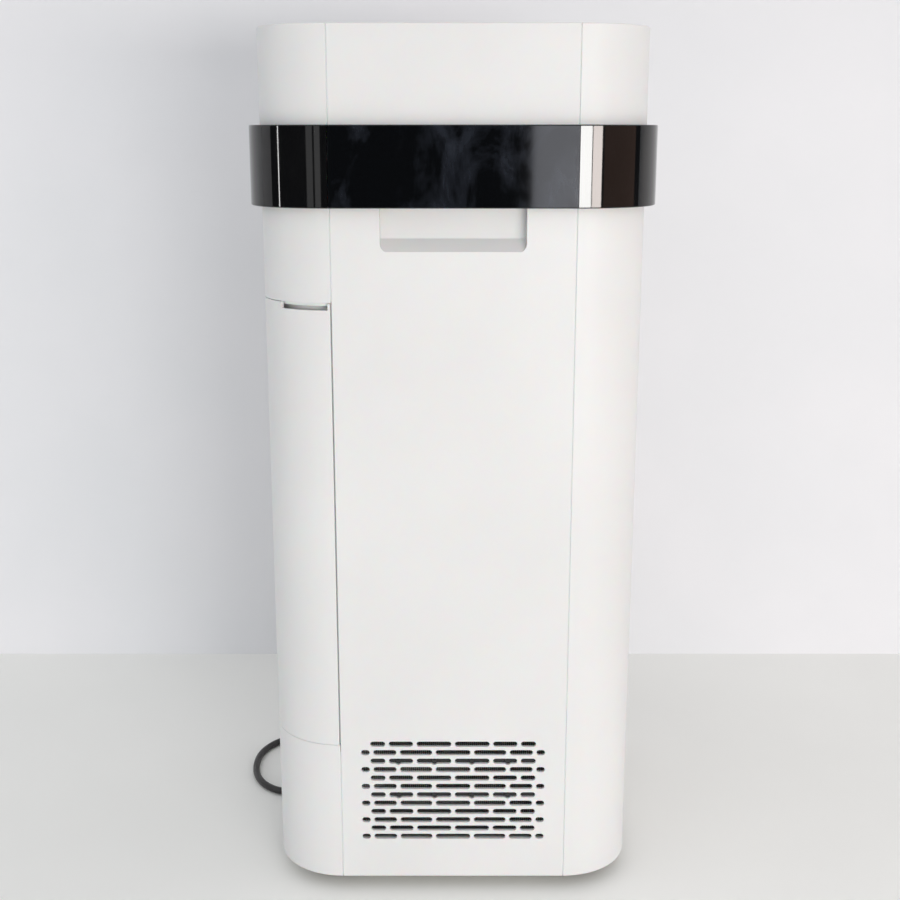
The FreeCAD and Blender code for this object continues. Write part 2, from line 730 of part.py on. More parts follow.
def rear_screw_places():
    """(x, z) of the screws that hold the rear panel to the ledges."""
    low = UNDERSIDE + SCREW_LOW
    high = PANEL_TOP - SCREW_DROP
    heights = [low + (high - low) * number / (SCREWS_A_SIDE - 1) for number in range(SCREWS_A_SIDE)]
    return [(side * (SEAM_X - MAGNET_INSET), z) for z in heights for side in (-1, 1)]


def rear_panel():
    """Fixed full-height rear panel with intake slots, a hand scoop, the switch opening and screw holes."""
    panel = turned_to_rear(scoop(slotted_panel(BODY_TOP)))
    panel = panel.cut(switch_block(0, 0, FAR))
    for x, z in rear_screw_places():
        panel = panel.cut(rod(SCREW_SHANK + SCREW_PLAY, FAR, (x, 0, z), Y_AXIS))
        panel = panel.cut(rod(SCREW_HEAD + SCREW_PLAY, SCREW_SINK, (x, HALF_DEPTH - SCREW_SINK, z), Y_AXIS))
    return panel


def rear_screws():
    """Flat-headed screws let in flush, through the rear panel and the ledges behind it."""
    half = DRIVE_WIDTH / 2
    arm = SCREW_HEAD * DRIVE_SPAN
    face = HALF_DEPTH - SCREW_SET
    screws = []
    for x, z in rear_screw_places():
        head = rod(SCREW_HEAD, SCREW_SINK - SCREW_SET, (x, HALF_DEPTH - SCREW_SINK, z), Y_AXIS)
        shank = rod(SCREW_SHANK, SCREW_LENGTH, (x, HALF_DEPTH - SCREW_SINK - SCREW_LENGTH, z), Y_AXIS)
        flat = box(x - arm, x + arm, face - DRIVE_WIDTH, face, z - half, z + half)
        upright = box(x - half, x + half, face - DRIVE_WIDTH, face, z - arm, z + arm)
        screws.append(head.fuse(shank).cut(flat).cut(upright))
    return screws


def band():
    """Channel-section band proud of the body all round."""
    solid = body_prism(-BAND_PROUD, BAND_BOTTOM, BAND_TOP)
    edges = [e for e in solid.Edges if all(abs(v.Z - e.Vertexes[0].Z) < 1e-6 for v in e.Vertexes)]
    whole = solid.makeFillet(BAND_ROUND, edges).cut(body_prism(-BAND_FIT, 0, FAR))
    hollow = body_skin(BAND_WALL - BAND_PROUD, 0, BAND_BOTTOM + BAND_WALL, BAND_TOP - BAND_WALL)
    return whole.cut(hollow)


def band_ring():
    """The band's sides and rear: everything but the display window."""
    gap = box(-SEAM_X - SEAM / 2, SEAM_X + SEAM / 2, -FAR, 0, 0, FAR)
    return band().cut(gap)


def display_lens():
    """The band's flat front, a smoked window over the display."""
    keep = box(-SEAM_X + SEAM / 2, SEAM_X - SEAM / 2, -FAR, 0, 0, FAR)
    return band().common(keep)


def display_board():
    """Circuit board behind the window."""
    half_x = DISPLAY_WIDTH / 2
    half_z = DISPLAY_HEIGHT / 2
    front = -HALF_DEPTH - BOARD_THICK
    return box(-half_x, half_x, front, -HALF_DEPTH, BAND_MIDDLE - half_z, BAND_MIDDLE + half_z)


def display_segments():
    """Seven-segment digits, a ring of indicator lamps and touch pads on the board."""
    y = -HALF_DEPTH - BOARD_THICK
    width, depth, height = DIGIT_SIZE
    low = BAND_MIDDLE - height / 2
    pieces = [box(x - width / 2, x + width / 2, y - depth, y, low, low + height) for x in DIGITS]
    for x in LAMPS:
        for side in (-1, 1):
            pieces.append(rod(LAMP_RADIUS, LAMP_DEPTH, (side * x, y - LAMP_DEPTH, BAND_MIDDLE), Y_AXIS))
    return pieces


def corner_cover():
    """Quarter-round cover with a finger notch in its top edge and two hooks under its lower edge."""
    z0 = COVER_FOOT + SEAM
    z1 = COVER_HEAD - COVER_TOP_GAP
    region = box(-FAR, -SEAM_X - COVER_SEAM, -FAR, -SEAM_Y - SEAM, z0, z1)
    cover = body_skin(0, SKIN, z0, z1).common(region)
    sweep = math.radians(NOTCH_TO - NOTCH_FROM) / 2
    middle = math.radians(270 - (NOTCH_FROM + NOTCH_TO) / 2)
    reach = 2 * CORNER_RADIUS
    fan = [(CORNER.x, CORNER.y, z1 - NOTCH_HEIGHT)]
    for angle in (middle - sweep, middle, middle + sweep):
        stretch = reach / math.cos(sweep)
        x = CORNER.x + stretch * math.cos(angle)
        y = CORNER.y + stretch * math.sin(angle)
        fan.append((x, y, z1 - NOTCH_HEIGHT))
    cover = cover.cut(prism(fan, (0, 0, NOTCH_HEIGHT + OVER)))
    hooks = []
    back = CORNER_RADIUS - SKIN - HOOK_BACK
    half = HOOK_WIDTH / 2
    for angle in HOOK_ANGLES:
        hook = box(back, CORNER_RADIUS - SKIN - HOOK_GAP, -half, half, 0, HOOK_HEIGHT)
        stem = box(back, CORNER_RADIUS - SKIN / 2, -half, half, *HOOK_STEM)
        piece = hook.fuse(stem)
        piece.rotate(V(0, 0, 0), Z_AXIS, angle)
        piece.translate(V(CORNER.x, CORNER.y, z0 - HOOK_DROP))
        hooks.append(piece)
    return fuse([cover] + hooks)


def accessory_bay():
    """Pocket behind the corner cover: two walls, a floor, a ceiling, the front panel's ledge and a curtain."""
    z0 = COVER_FOOT + OPENING_PLAY
    z1 = COVER_HEAD - OPENING_PLAY
    floor_z = z0 + BAY_FLOOR
    x_wall = -SEAM_X - SEAM / 2
    y_front = -HALF_DEPTH + SKIN + OPENING_PLAY
    region = box(-FAR, x_wall, -FAR, BAY_SIDE_Y, 0, FAR)
    inner = SKIN + BAY_SKIN_GAP
    curtain = SKIN + CURTAIN_INSET
    quarter = box(-FAR, x_wall, -FAR, -SEAM_Y, 0, FAR)
    pieces = [
        box(x_wall - BAY_WALL, x_wall, y_front, BAY_SIDE_Y, z0, z1),
        box(x_wall - BAY_WALL, -SEAM_X + LANDING, y_front, y_front + LEDGE, z0, z1),
        box(-HALF_WIDTH + inner, x_wall, BAY_SIDE_Y - BAY_WALL, BAY_SIDE_Y, z0, z1),
        box(-HALF_WIDTH + inner, -HALF_WIDTH + inner + LEDGE, -SEAM_Y - BAY_STRIP, BAY_SIDE_Y, z0, z1),
        body_prism(inner, floor_z, floor_z + BAY_WALL).common(region),
        body_prism(inner, z1 - BAY_WALL, z1).common(region),
        body_skin(curtain, curtain + BAY_WALL, z1 - CURTAIN_DROP, z1).common(quarter),
    ]
    return fuse(pieces)


def air_quality_sensor():
    """Particle sensor module at the head of the pocket, behind the notch."""
    width, height = SENSOR_SIZE
    z1 = COVER_HEAD - OPENING_PLAY - BAY_WALL
    x0 = -SEAM_X - SENSOR_PLACE[0]
    y0 = -SEAM_Y - SENSOR_PLACE[1]
    body = box(x0, x0 + width, y0, BAY_SIDE_Y - BAY_WALL, z1 - height, z1)
    for along, radius, depth in (SENSOR_MOUTH, SENSOR_LENS):
        body = body.cut(rod(radius, depth, (x0 + along, y0, z1 - height / 2), Y_AXIS))
    return body


# ---------------------------------------------------------------- base and casters
def caster_places():
    """(name, x, y) of the four swivel axes."""
    x = SEAM_X + WELL_INSET
    y = SEAM_Y + WELL_INSET
    return [
        ("front_left", -x, -y),
        ("front_right", x, -y),
        ("rear_left", -x, y),
        ("rear_right", x, y),
    ]


def cord_way():
    """Channel under the base that the lead leaves by, open at the left side."""
    y0 = GLAND_Y - CHANNEL_HALF
    y1 = GLAND_Y + CHANNEL_HALF
    return box(-HALF_WIDTH - OVER, GLAND_X, y0, y1, 0, UNDERSIDE + CHANNEL_HEIGHT)


def base_pan():
    """Floor tray with four caster wells, the cord channel and slots for the front panel's tabs."""
    inset = SKIN + FIT
    pan = body_prism(inset, UNDERSIDE, BASE_TOP)
    pan = pan.cut(body_prism(inset + THIN_WALL, UNDERSIDE + PAN_FLOOR, BASE_TOP + OVER))
    room = body_prism(inset, UNDERSIDE, BASE_TOP)
    solids = [pan]
    for _, x, y in caster_places():
        solids.append(rod(WELL_RADIUS + THIN_WALL, BASE_TOP - UNDERSIDE, (x, y, UNDERSIDE)).common(room))
    y0 = GLAND_Y - CHANNEL_HALF - THIN_WALL
    y1 = GLAND_Y + CHANNEL_HALF + THIN_WALL
    roof = UNDERSIDE + CHANNEL_HEIGHT + THIN_WALL
    solids.append(box(-HALF_WIDTH + inset + THIN_WALL / 2, GLAND_X + CHANNEL_END, y0, y1, UNDERSIDE, roof))
    for y in PAN_RIBS:
        rib = box(-PAN_RIB_HALF, PAN_RIB_HALF, y - RIB / 2, y + RIB / 2, UNDERSIDE, UNDERSIDE + PAN_RIB_HIGH)
        solids.append(rib)
    pan = fuse(solids)
    for _, x, y in caster_places():
        pan = pan.cut(rod(WELL_RADIUS, WELL_ROOF - UNDERSIDE, (x, y, UNDERSIDE)))
        pan = pan.cut(rod(2 * STEM_RADIUS, BASE_TOP - UNDERSIDE, (x, y, UNDERSIDE)))
    pan = pan.cut(cord_way())
    pan = pan.cut(rod(GLAND_BORE, GLAND_ROOM, (GLAND_X, GLAND_Y, GLAND_Z), X_AXIS))
    slot_z = UNDERSIDE + TAB_RISE
    for side in (-1, 1):
        x = side * TAB_SPREAD
        half = TAB_WIDTH / 2 + FIT
        back = -HALF_DEPTH + TAB_SLOT
        pan = pan.cut(box(x - half, x + half, -HALF_DEPTH, back, slot_z - FIT, slot_z + TAB_THICK + FIT))
    return pan


def caster_sockets():
    """Four flanged sockets, pressed into the well roofs, that the caster stems turn in."""
    sockets = []
    for _, x, y in caster_places():
        barrel = rod(2 * STEM_RADIUS, SOCKET_LENGTH, (x, y, WELL_ROOF))
        flange = rod(FLANGE_RADIUS, FLANGE_THICK, (x, y, BASE_TOP))
        bore = rod(STEM_RADIUS + RUNNING_GAP, SOCKET_LENGTH, (x, y, WELL_ROOF))
        sockets.append(barrel.fuse(flange).cut(bore))
    return sockets


def caster_fork(x, y):
    """Swivel fork with its stem and two cheeks, and the axle between them."""
    crown_top = CROWN_LOW + CROWN_HEIGHT
    cheek_in = WHEEL_WIDTH / 2 + CHEEK_GAP
    cheek_out = cheek_in + CHEEK_THICK
    hub_y = y + CASTER_TRAIL
    solids = [
        rod(CROWN_RADIUS, CROWN_HEIGHT, (x, y, CROWN_LOW)),
        rod(STEM_RADIUS, SOCKET_LENGTH - STEM_PLAY, (x, y, crown_top)),
    ]
    for low_x in (x - cheek_out, x + cheek_in):
        outline = [
            (low_x, y - CHEEK_BACK, crown_top),
            (low_x, hub_y + CHEEK_HEAD, crown_top),
            (low_x, hub_y + CHEEK_EYE, WHEEL_RADIUS),
            (low_x, hub_y, WHEEL_RADIUS - CHEEK_EYE),
            (low_x, hub_y - CHEEK_EYE, WHEEL_RADIUS),
        ]
        solids.append(prism(outline, (CHEEK_THICK, 0, 0)))
    axle = rod(AXLE_RADIUS, 2 * cheek_out, (x - cheek_out, hub_y, WHEEL_RADIUS), X_AXIS)
    return [fuse(solids).cut(axle), axle]


def caster_wheel(x, y):
    """Wheel with rounded shoulders, a recessed web and a bore that runs on the axle."""
    half = WHEEL_WIDTH / 2
    r = WHEEL_RADIUS
    bore = AXLE_RADIUS + RUNNING_GAP
    rim = r - RIM_DEPTH
    hub = bore + HUB_WALL
    web = half - WEB_SINK
    down, along = TREAD_CHAMFER
    outline = [
        (bore, -half),
        (hub, -half),
        (hub + WHEEL_DRAFT, -web),
        (rim, -web),
        (rim + WHEEL_DRAFT, -half),
        (r - down, -half),
        (r, -half + along),
        (r, half - along),
        (r - down, half),
        (rim + WHEEL_DRAFT, half),
        (rim, web),
        (hub + WHEEL_DRAFT, web),
        (hub, half),
        (bore, half),
    ]
    wire = Part.makePolygon([V(across, distance, 0) for distance, across in outline + outline[:1]])
    wheel = Part.Face(wire).revolve(V(0, 0, 0), X_AXIS, 360)
    wheel.translate(V(x, y + CASTER_TRAIL, WHEEL_RADIUS))
    return wheel


# ---------------------------------------------------------------- filter housing and drawers
def shelf_tops():
    """Height of each drawer's shelf, from the lowest."""
    return (PREFILTER_Z, IONISER_Z, COLLECTOR_Z, CARBON_Z)


def filter_housing():
    """Three-sided housing, open at the front, with a pair of rails under each drawer."""
    out = BAY_HALF + THIN_WALL
    walls = [
        box(-out, -BAY_HALF, BAY_FRONT, BAY_REAR + THIN_WALL, BASE_TOP, HOUSING_TOP),
        box(BAY_HALF, out, BAY_FRONT, BAY_REAR + THIN_WALL, BASE_TOP, HOUSING_TOP),
        box(-out, out, BAY_REAR, BAY_REAR + THIN_WALL, BASE_TOP, HOUSING_TOP),
    ]
    for top in shelf_tops():
        for side in (-1, 1):
            x0, x1 = sorted((side * (BAY_HALF + THIN_WALL / 2), side * (BAY_HALF - RAIL)))
            walls.append(box(x0, x1, BAY_FRONT, BAY_REAR + THIN_WALL / 2, top - SHELF, top))
    housing = fuse(walls)
    window_low = BASE_TOP + INTAKE_SILL
    window_high = PREFILTER_Z - SHELF - INTAKE_SILL
    half = BAY_HALF - INTAKE_SIDE
    housing = housing.cut(box(-half, half, BAY_REAR - OVER, FAR, window_low, window_high))
    for _, x, y in caster_places():
        housing = housing.cut(rod(FLANGE_RADIUS + FIT, FLANGE_THICK + FIT, (x, y, BASE_TOP)))
    return housing


def tray_frame(z, height, bars):
    """Open rectangular drawer frame with cross bars and a finger pull in its front rail."""
    z0 = z + FIT
    z1 = z0 + height
    frame = box(-TRAY_HALF, TRAY_HALF, TRAY_FRONT, TRAY_REAR, z0, z1)
    x = TRAY_HALF - RIM
    frame = frame.cut(box(-x, x, TRAY_FRONT + RIM, TRAY_REAR - RIM, z0 - OVER, z1 + OVER))
    length = TRAY_REAR - TRAY_FRONT
    for number in range(1, bars + 1):
        y = TRAY_FRONT + length * number / (bars + 1)
        half = BAR_WIDTH / 2
        frame = frame.fuse(box(-x - RIM / 2, x + RIM / 2, y - half, y + half, z0, z0 + BAR_HEIGHT))
    half = PULL_WIDTH / 2
    back = TRAY_FRONT + RIM - PULL_WALL
    return frame.cut(box(-half, half, TRAY_FRONT - OVER, back, z0 + PULL_EDGE, z1 - PULL_EDGE))


def prefilter_frame():
    """Drawer frame of the washable pre-filter."""
    return tray_frame(PREFILTER_Z, PREFILTER_HEIGHT, 3)


def sheet_in_frame(z, low, high):
    """Flat sheet that fills a drawer frame between two heights above the frame's foot."""
    x = TRAY_HALF - RIM
    return box(-x, x, TRAY_FRONT + RIM, TRAY_REAR - RIM, z + FIT + low, z + FIT + high)


def prefilter_mesh():
    """Woven screen lying on the pre-filter's cross bars."""
    return sheet_in_frame(PREFILTER_Z, BAR_HEIGHT, BAR_HEIGHT + MESH_THICK)


def ioniser_frame():
    """Drawer frame that carries the ionising wires."""
    return tray_frame(IONISER_Z, IONISER_HEIGHT, 2)


def ioniser_wires():
    """Taut wires across the ioniser drawer, each between two small posts."""
    x = TRAY_HALF - RIM
    length = TRAY_REAR - TRAY_FRONT - 2 * RIM
    wires = []
    for number in range(WIRE_COUNT):
        y = TRAY_FRONT + RIM + length * (number + 0.5) / WIRE_COUNT
        z = IONISER_Z + FIT + IONISER_HEIGHT * WIRE_LEVEL
        wires.append(rod(WIRE_RADIUS, 2 * x, (-x, y, z), X_AXIS))
    return wires


def collector_case():
    """Tall drawer with a grip in its fascia; its front and rear walls hold the plates."""
    z0 = COLLECTOR_Z + FIT
    z1 = z0 + COLLECTOR_HEIGHT
    case = box(-TRAY_HALF, TRAY_HALF, TRAY_FRONT, TRAY_REAR, z0, z1)
    x = TRAY_HALF - CASE_SIDE
    case = case.cut(box(-x, x, TRAY_FRONT + CASE_FRONT, TRAY_REAR - CASE_REAR, z0 - OVER, z1 + OVER))
    grip_z = (z0 + z1) / 2
    wide = GRIP_WIDTH / 2
    high = GRIP_HEIGHT / 2
    case = case.cut(box(-wide, wide, TRAY_FRONT - OVER, TRAY_FRONT + GRIP_DEPTH, grip_z - high, grip_z + high))
    length, depth, height = GRIP_BAR
    bar = box(-length / 2, length / 2, TRAY_FRONT, TRAY_FRONT + depth, grip_z - height / 2, grip_z + height / 2)
    return case.fuse(bar)


def collector_plates():
    """Row of thin aluminium plates, upright and parallel to the sides."""
    z0 = COLLECTOR_Z + FIT + PLATE_END
    z1 = COLLECTOR_Z + FIT + COLLECTOR_HEIGHT - PLATE_END
    y0 = TRAY_FRONT + CASE_FRONT
    y1 = TRAY_REAR - CASE_REAR
    half = TRAY_HALF - PLATE_SIDE
    count = int(2 * half / PLATE_PITCH)
    start = -PLATE_PITCH * (count - 1) / 2
    plates = []
    for number in range(count):
        x = start + PLATE_PITCH * number
        plates.append(box(x - PLATE_THICK / 2, x + PLATE_THICK / 2, y0, y1, z0, z1))
    return plates


def carbon_frame():
    """Drawer frame of the carbon filter."""
    return tray_frame(CARBON_Z, CARBON_HEIGHT, 2)


def carbon_block():
    """Honeycomb carbon block resting on the frame's bars."""
    return sheet_in_frame(CARBON_Z, BAR_HEIGHT, CARBON_HEIGHT - CARBON_SINK)


# ---------------------------------------------------------------- fan
def fan_deck():
    """Plate over the drawers with a bell mouth that feeds the impeller."""
    out = BAY_HALF + THIN_WALL
    wide = INLET_RADIUS + BELL_FLARE
    foot = (0, 0, HOUSING_TOP)
    collar = IMPELLER_Z + INLET_LAP - HOUSING_TOP
    deck = box(-out, out, BAY_FRONT, BAY_REAR + THIN_WALL, HOUSING_TOP, FAN_DECK_TOP)
    bell = Part.makeCone(wide + THIN_WALL, INLET_RADIUS + THIN_WALL, BELL_HEIGHT, V(*foot))
    deck = fuse([deck, bell, rod(INLET_RADIUS + THIN_WALL, collar, foot)])
    mouth = Part.makeCone(wide, INLET_RADIUS, BELL_HEIGHT, V(*foot))
    return deck.cut(rod(INLET_RADIUS, collar, foot)).cut(mouth)


def fan_blade():
    """One backward-curved blade between the shroud and the hub plate."""
    low = IMPELLER_Z
    inner_r = INLET_RADIUS * BLADE_ROOT
    outer_r = IMPELLER_RADIUS - BLADE_TIP
    turn = math.radians(BLADE_ANGLE)
    mid_sweep, tip_sweep = BLADE_SWEEP

    def at(radius, angle):
        return V(radius * math.cos(angle), radius * math.sin(angle), low)

    def line(offset):
        middle = (inner_r + outer_r) / 2
        return [
            at(inner_r, offset),
            at(middle, offset - math.radians(mid_sweep)),
            at(outer_r, offset - math.radians(tip_sweep)),
        ]

    near = line(0)
    far = line(turn)
    wire = Part.Wire(
        [
            Part.Arc(*near).toShape(),
            Part.makeLine(near[2], far[2]),
            Part.Arc(far[2], far[1], far[0]).toShape(),
            Part.makeLine(far[0], near[0]),
        ]
    )
    return Part.Face(wire).extrude(V(0, 0, IMPELLER_HEIGHT))


def impeller():
    """Centrifugal impeller: shroud ring, blades, hub plate and boss."""
    shroud_in = INLET_RADIUS + THIN_WALL + SHROUD_GAP
    shapes = [
        pipe(IMPELLER_RADIUS, shroud_in, SHROUD, (0, 0, IMPELLER_Z)),
        rod(IMPELLER_RADIUS, HUB_PLATE, (0, 0, IMPELLER_TOP - HUB_PLATE)),
        rod(3 * SHAFT_RADIUS, BOSS_HEIGHT, (0, 0, IMPELLER_TOP - BOSS_HEIGHT)),
    ]
    for number in range(BLADE_COUNT):
        one = fan_blade()
        one.rotate(V(0, 0, 0), Z_AXIS, 360.0 * number / BLADE_COUNT)
        shapes.append(one)
    eye = rod(shroud_in, SHROUD + OVER / 2, (0, 0, IMPELLER_Z - OVER / 2))
    wheel = fuse(shapes).cut(eye)
    return wheel.cut(rod(SHAFT_RADIUS, FAR, (0, 0, 0)))


def motor_shaft():
    """Steel shaft from the nut under the impeller's boss up to the top bearing."""
    low = IMPELLER_TOP - BOSS_HEIGHT - NUT_HEIGHT - SHAFT_END
    return rod(SHAFT_RADIUS, MOTOR_TOP - SHAFT_SET - low, (0, 0, low))


def impeller_nut():
    """Hexagon nut that clamps the impeller on the shaft."""
    size = 2 * SHAFT_RADIUS
    angles = [math.radians(60 * number) for number in range(6)]
    corners = [(size * math.cos(angle), size * math.sin(angle), 0) for angle in angles]
    nut = prism(corners, (0, 0, NUT_HEIGHT))
    nut.translate(V(0, 0, IMPELLER_TOP - BOSS_HEIGHT - NUT_HEIGHT))
    return nut.cut(rod(SHAFT_RADIUS, FAR, (0, 0, 0)))


def motor_housing():
    """Motor can with a bearing seat in each end."""
    can = rod(MOTOR_RADIUS, MOTOR_LENGTH, (0, 0, MOTOR_Z))
    room = rod(MOTOR_RADIUS - CAN_WALL, MOTOR_LENGTH - 2 * BEARING_WIDTH, (0, 0, MOTOR_Z + BEARING_WIDTH))
    return can.cut(room).cut(rod(BEARING_RADIUS, MOTOR_LENGTH, (0, 0, MOTOR_Z)))


def motor_bearings():
    """One bearing ring in each end of the motor."""
    bore = SHAFT_RADIUS + RUNNING_GAP
    places = (MOTOR_Z, MOTOR_TOP - BEARING_WIDTH)
    return [pipe(BEARING_RADIUS, bore, BEARING_WIDTH, (0, 0, z)) for z in places]


def motor_stator():
    """Wound stator inside the can."""
    length = MOTOR_LENGTH - 2 * BEARING_WIDTH - 2 * STATOR_END
    return pipe(MOTOR_RADIUS - CAN_WALL, STATOR_BORE, length, (0, 0, MOTOR_Z + BEARING_WIDTH + STATOR_END))


def motor_rotor():
    """Magnet rotor on the shaft."""
    length = MOTOR_LENGTH - 2 * BEARING_WIDTH - 2 * ROTOR_END
    return pipe(ROTOR_RADIUS, SHAFT_RADIUS, length, (0, 0, MOTOR_Z + BEARING_WIDTH + ROTOR_END))


def motor_mount():
    """Spider that hangs the motor in the duct: a rim, a ring and four arms."""
    out_x = BAY_HALF + THIN_WALL
    out_y = BAY_REAR + THIN_WALL
    in_x = out_x - MOUNT_RIM
    in_y = out_y - MOUNT_RIM
    lap = MOUNT_RIM / 2
    arm = MOUNT_ARM / 2
    rim = box(-out_x, out_x, -out_y, out_y, MOTOR_TOP, MOUNT_TOP)
    rim = rim.cut(box(-in_x, in_x, -in_y, in_y, MOTOR_TOP, MOUNT_TOP))
    parts = [rim, rod(MOTOR_RADIUS + MOUNT_RING, MOUNT_THICK, (0, 0, MOTOR_TOP))]
    parts.append(box(-in_x - lap, in_x + lap, -arm, arm, MOTOR_TOP, MOUNT_TOP))
    parts.append(box(-arm, arm, -in_y - lap, in_y + lap, MOTOR_TOP, MOUNT_TOP))
    return fuse(parts).cut(rod(MOUNT_BORE, MOUNT_THICK, (0, 0, MOTOR_TOP)))


def fan_duct():
    """Straight duct wall round the impeller."""
    out_x = BAY_HALF + THIN_WALL
    out_y = BAY_REAR + THIN_WALL
    wall = box(-out_x, out_x, -out_y, out_y, FAN_DECK_TOP, MOTOR_TOP)
    return wall.cut(box(-BAY_HALF, BAY_HALF, -BAY_REAR, BAY_REAR, FAN_DECK_TOP, MOTOR_TOP))


def outlet_diffuser():
    """Duct that widens from the motor mount to the outlet."""
    top = DECK_UNDER - DIFFUSER_GAP

    def loft(inset):
        foot_x = BAY_HALF + THIN_WALL - inset
        foot_y = BAY_REAR + THIN_WALL - inset
        head_x = OUTLET_HALF_X + DIFFUSER_WALL - inset
        head_y = OUTLET_HALF_Y + DIFFUSER_WALL - inset
        low = rounded_wire(foot_x, foot_y, DIFFUSER_CORNER - inset, MOUNT_TOP)
        high = rounded_wire(head_x, head_y, OUTLET_CORNER - inset, top)
        return Part.makeLoft([low, high], True)

    return loft(0).cut(loft(THIN_WALL))


# ---------------------------------------------------------------- head
def top_frame():
    """Top deck with a skirt and a stepped opening for the outlet grille."""
    inset = SKIN + FIT
    deck = body_prism(inset, DECK_UNDER, DECK_TOP)
    skirt = body_skin(inset, inset + THIN_WALL, DECK_UNDER - SKIRT, DECK_UNDER + SKIRT_LAP)
    frame = deck.fuse(skirt)
    step = rounded_prism(OUTLET_HALF_X, OUTLET_HALF_Y, OUTLET_CORNER, DECK_TOP - DECK / 2, DECK_TOP + OVER)
    half_x = OUTLET_HALF_X - OUTLET_LIP
    half_y = OUTLET_HALF_Y - OUTLET_LIP
    through = rounded_prism(half_x, half_y, OUTLET_CORNER - OUTLET_LIP, DECK_UNDER - OVER, DECK_TOP + OVER)
    return frame.cut(step).cut(through)


def outlet_grille():
    """Outlet plate with the same brickwork slots as the intake, on cross fins."""
    z0 = DECK_TOP - DECK / 2
    half_x = OUTLET_HALF_X - SEAM
    half_y = OUTLET_HALF_Y - SEAM
    radius = OUTLET_CORNER - SEAM
    outer = rounded_wire(half_x, half_y, radius, 0)
    holes = []
    rows = int((2 * half_y - 2 * OUTLET_EDGE) / SLOT_PITCH)
    step = OUTLET_SLOT + SLOT_GAP
    for row in range(rows):
        y = SLOT_PITCH * (row - (rows - 1) / 2)
        past = max(0.0, abs(y) + SLOT_HEIGHT / 2 + OUTLET_ROUND - (half_y - radius))
        room = half_x - OUTLET_SIDE - radius + math.sqrt(max(0.0, radius ** 2 - past ** 2))
        shift = step / 2 if row % 2 else 0.0
        reach = int(half_x / step) + 1
        for number in range(-reach, reach + 1):
            x = number * step + shift
            left = max(-room, x - OUTLET_SLOT / 2)
            right = min(room, x + OUTLET_SLOT / 2)
            if right - left > SHORTEST_SLOT * SLOT_HEIGHT:
                holes.append(slot_wire((left + right) / 2, y, right - left, SLOT_HEIGHT, 0))
    for hole in holes:
        hole.rotate(V(0, 0, 0), X_AXIS, -90)
    face = Part.makeFace([outer] + holes, "Part::FaceMakerBullseye")
    plate = face.extrude(V(0, 0, DECK / 2))
    plate.translate(V(0, 0, z0))
    return plate


# ---------------------------------------------------------------- electrics
def main_board():
    """Control board on four posts behind the filter housing, with its larger components."""
    z0 = UNDERSIDE + BOARD_RISE
    z1 = z0 + BOARD_HEIGHT
    x0, x1 = BOARD_SPAN
    y = REAR_Y + POST_LENGTH
    top = y + BOARD_THICK
    pieces = [box(x0, x1, y, top, z0, z1)]
    for x in (x0 + BOARD_EDGE, x1 - BOARD_EDGE):
        for z in (z0 + BOARD_EDGE, z1 - BOARD_EDGE):
            pieces.append(rod(POST_RADIUS, POST_LENGTH, (x, REAR_Y, z), Y_AXIS))
    for x in CAPACITORS:
        pieces.append(rod(CAPACITOR_RADIUS, CAPACITOR_LENGTH, (x, top, z0 + CAPACITOR_RISE), Y_AXIS))
    for left, right, depth, low, high in (TRANSFORMER, PROCESSOR, CONNECTOR):
        pieces.append(box(left, right, top, top + depth, z0 + low, z0 + high))
    return pieces


def high_voltage_module():
    """Potted supply for the ioniser and the collector."""
    z0 = UNDERSIDE + SUPPLY_RISE
    x0, x1 = POTTED_SPAN
    solids = [box(x0, x1, REAR_Y, REAR_Y + POTTED_DEPTH, z0, z0 + POTTED_HEIGHT)]
    for rise in FEET:
        low = z0 + rise
        foot = box(x0 - FOOT_REACH, x1 + FOOT_REACH, REAR_Y, REAR_Y + FOOT_THICK, low, low + FOOT_HEIGHT)
        solids.append(foot)
    return fuse(solids)


def power_supply():
    """Low voltage supply in a folded metal case."""
    z0 = UNDERSIDE + SUPPLY_RISE
    return box(*CASED_SPAN, REAR_Y, REAR_Y + CASED_DEPTH, z0, z0 + CASED_HEIGHT)


def switch_block(inset, y0, y1):
    """Upright block on the switch's outline drawn in by inset."""
    half_x = SWITCH_HALF_X - inset
    half_z = SWITCH_HALF_Z - inset
    return box(SWITCH_X - half_x, SWITCH_X + half_x, y0, y1, SWITCH_Z - half_z, SWITCH_Z + half_z)


def switch_housing():
    """Snap-in frame of the mains switch, with a flange on the panel's face."""
    back = HALF_DEPTH - SWITCH_DEPTH
    flange = switch_block(-SWITCH_FLANGE, HALF_DEPTH, HALF_DEPTH + SWITCH_FLANGE_THICK)
    body = switch_block(FIT, back, HALF_DEPTH + SWITCH_FLANGE_THICK / 2)
    seat = pivot_pin(PIVOT_RADIUS + RUNNING_GAP, SWITCH_HALF_X - SWITCH_WALL + PIVOT_REACH + FIT / 2)
    return flange.fuse(body).cut(switch_block(SWITCH_WALL, back + SWITCH_FLOOR, FAR)).cut(seat)


def pivot_pin(radius, reach):
    """Round bar on the rocker's pivot axis, reaching as far to each side."""
    return rod(radius, 2 * reach, (SWITCH_X - reach, HALF_DEPTH - PIVOT_SINK, SWITCH_Z), X_AXIS)


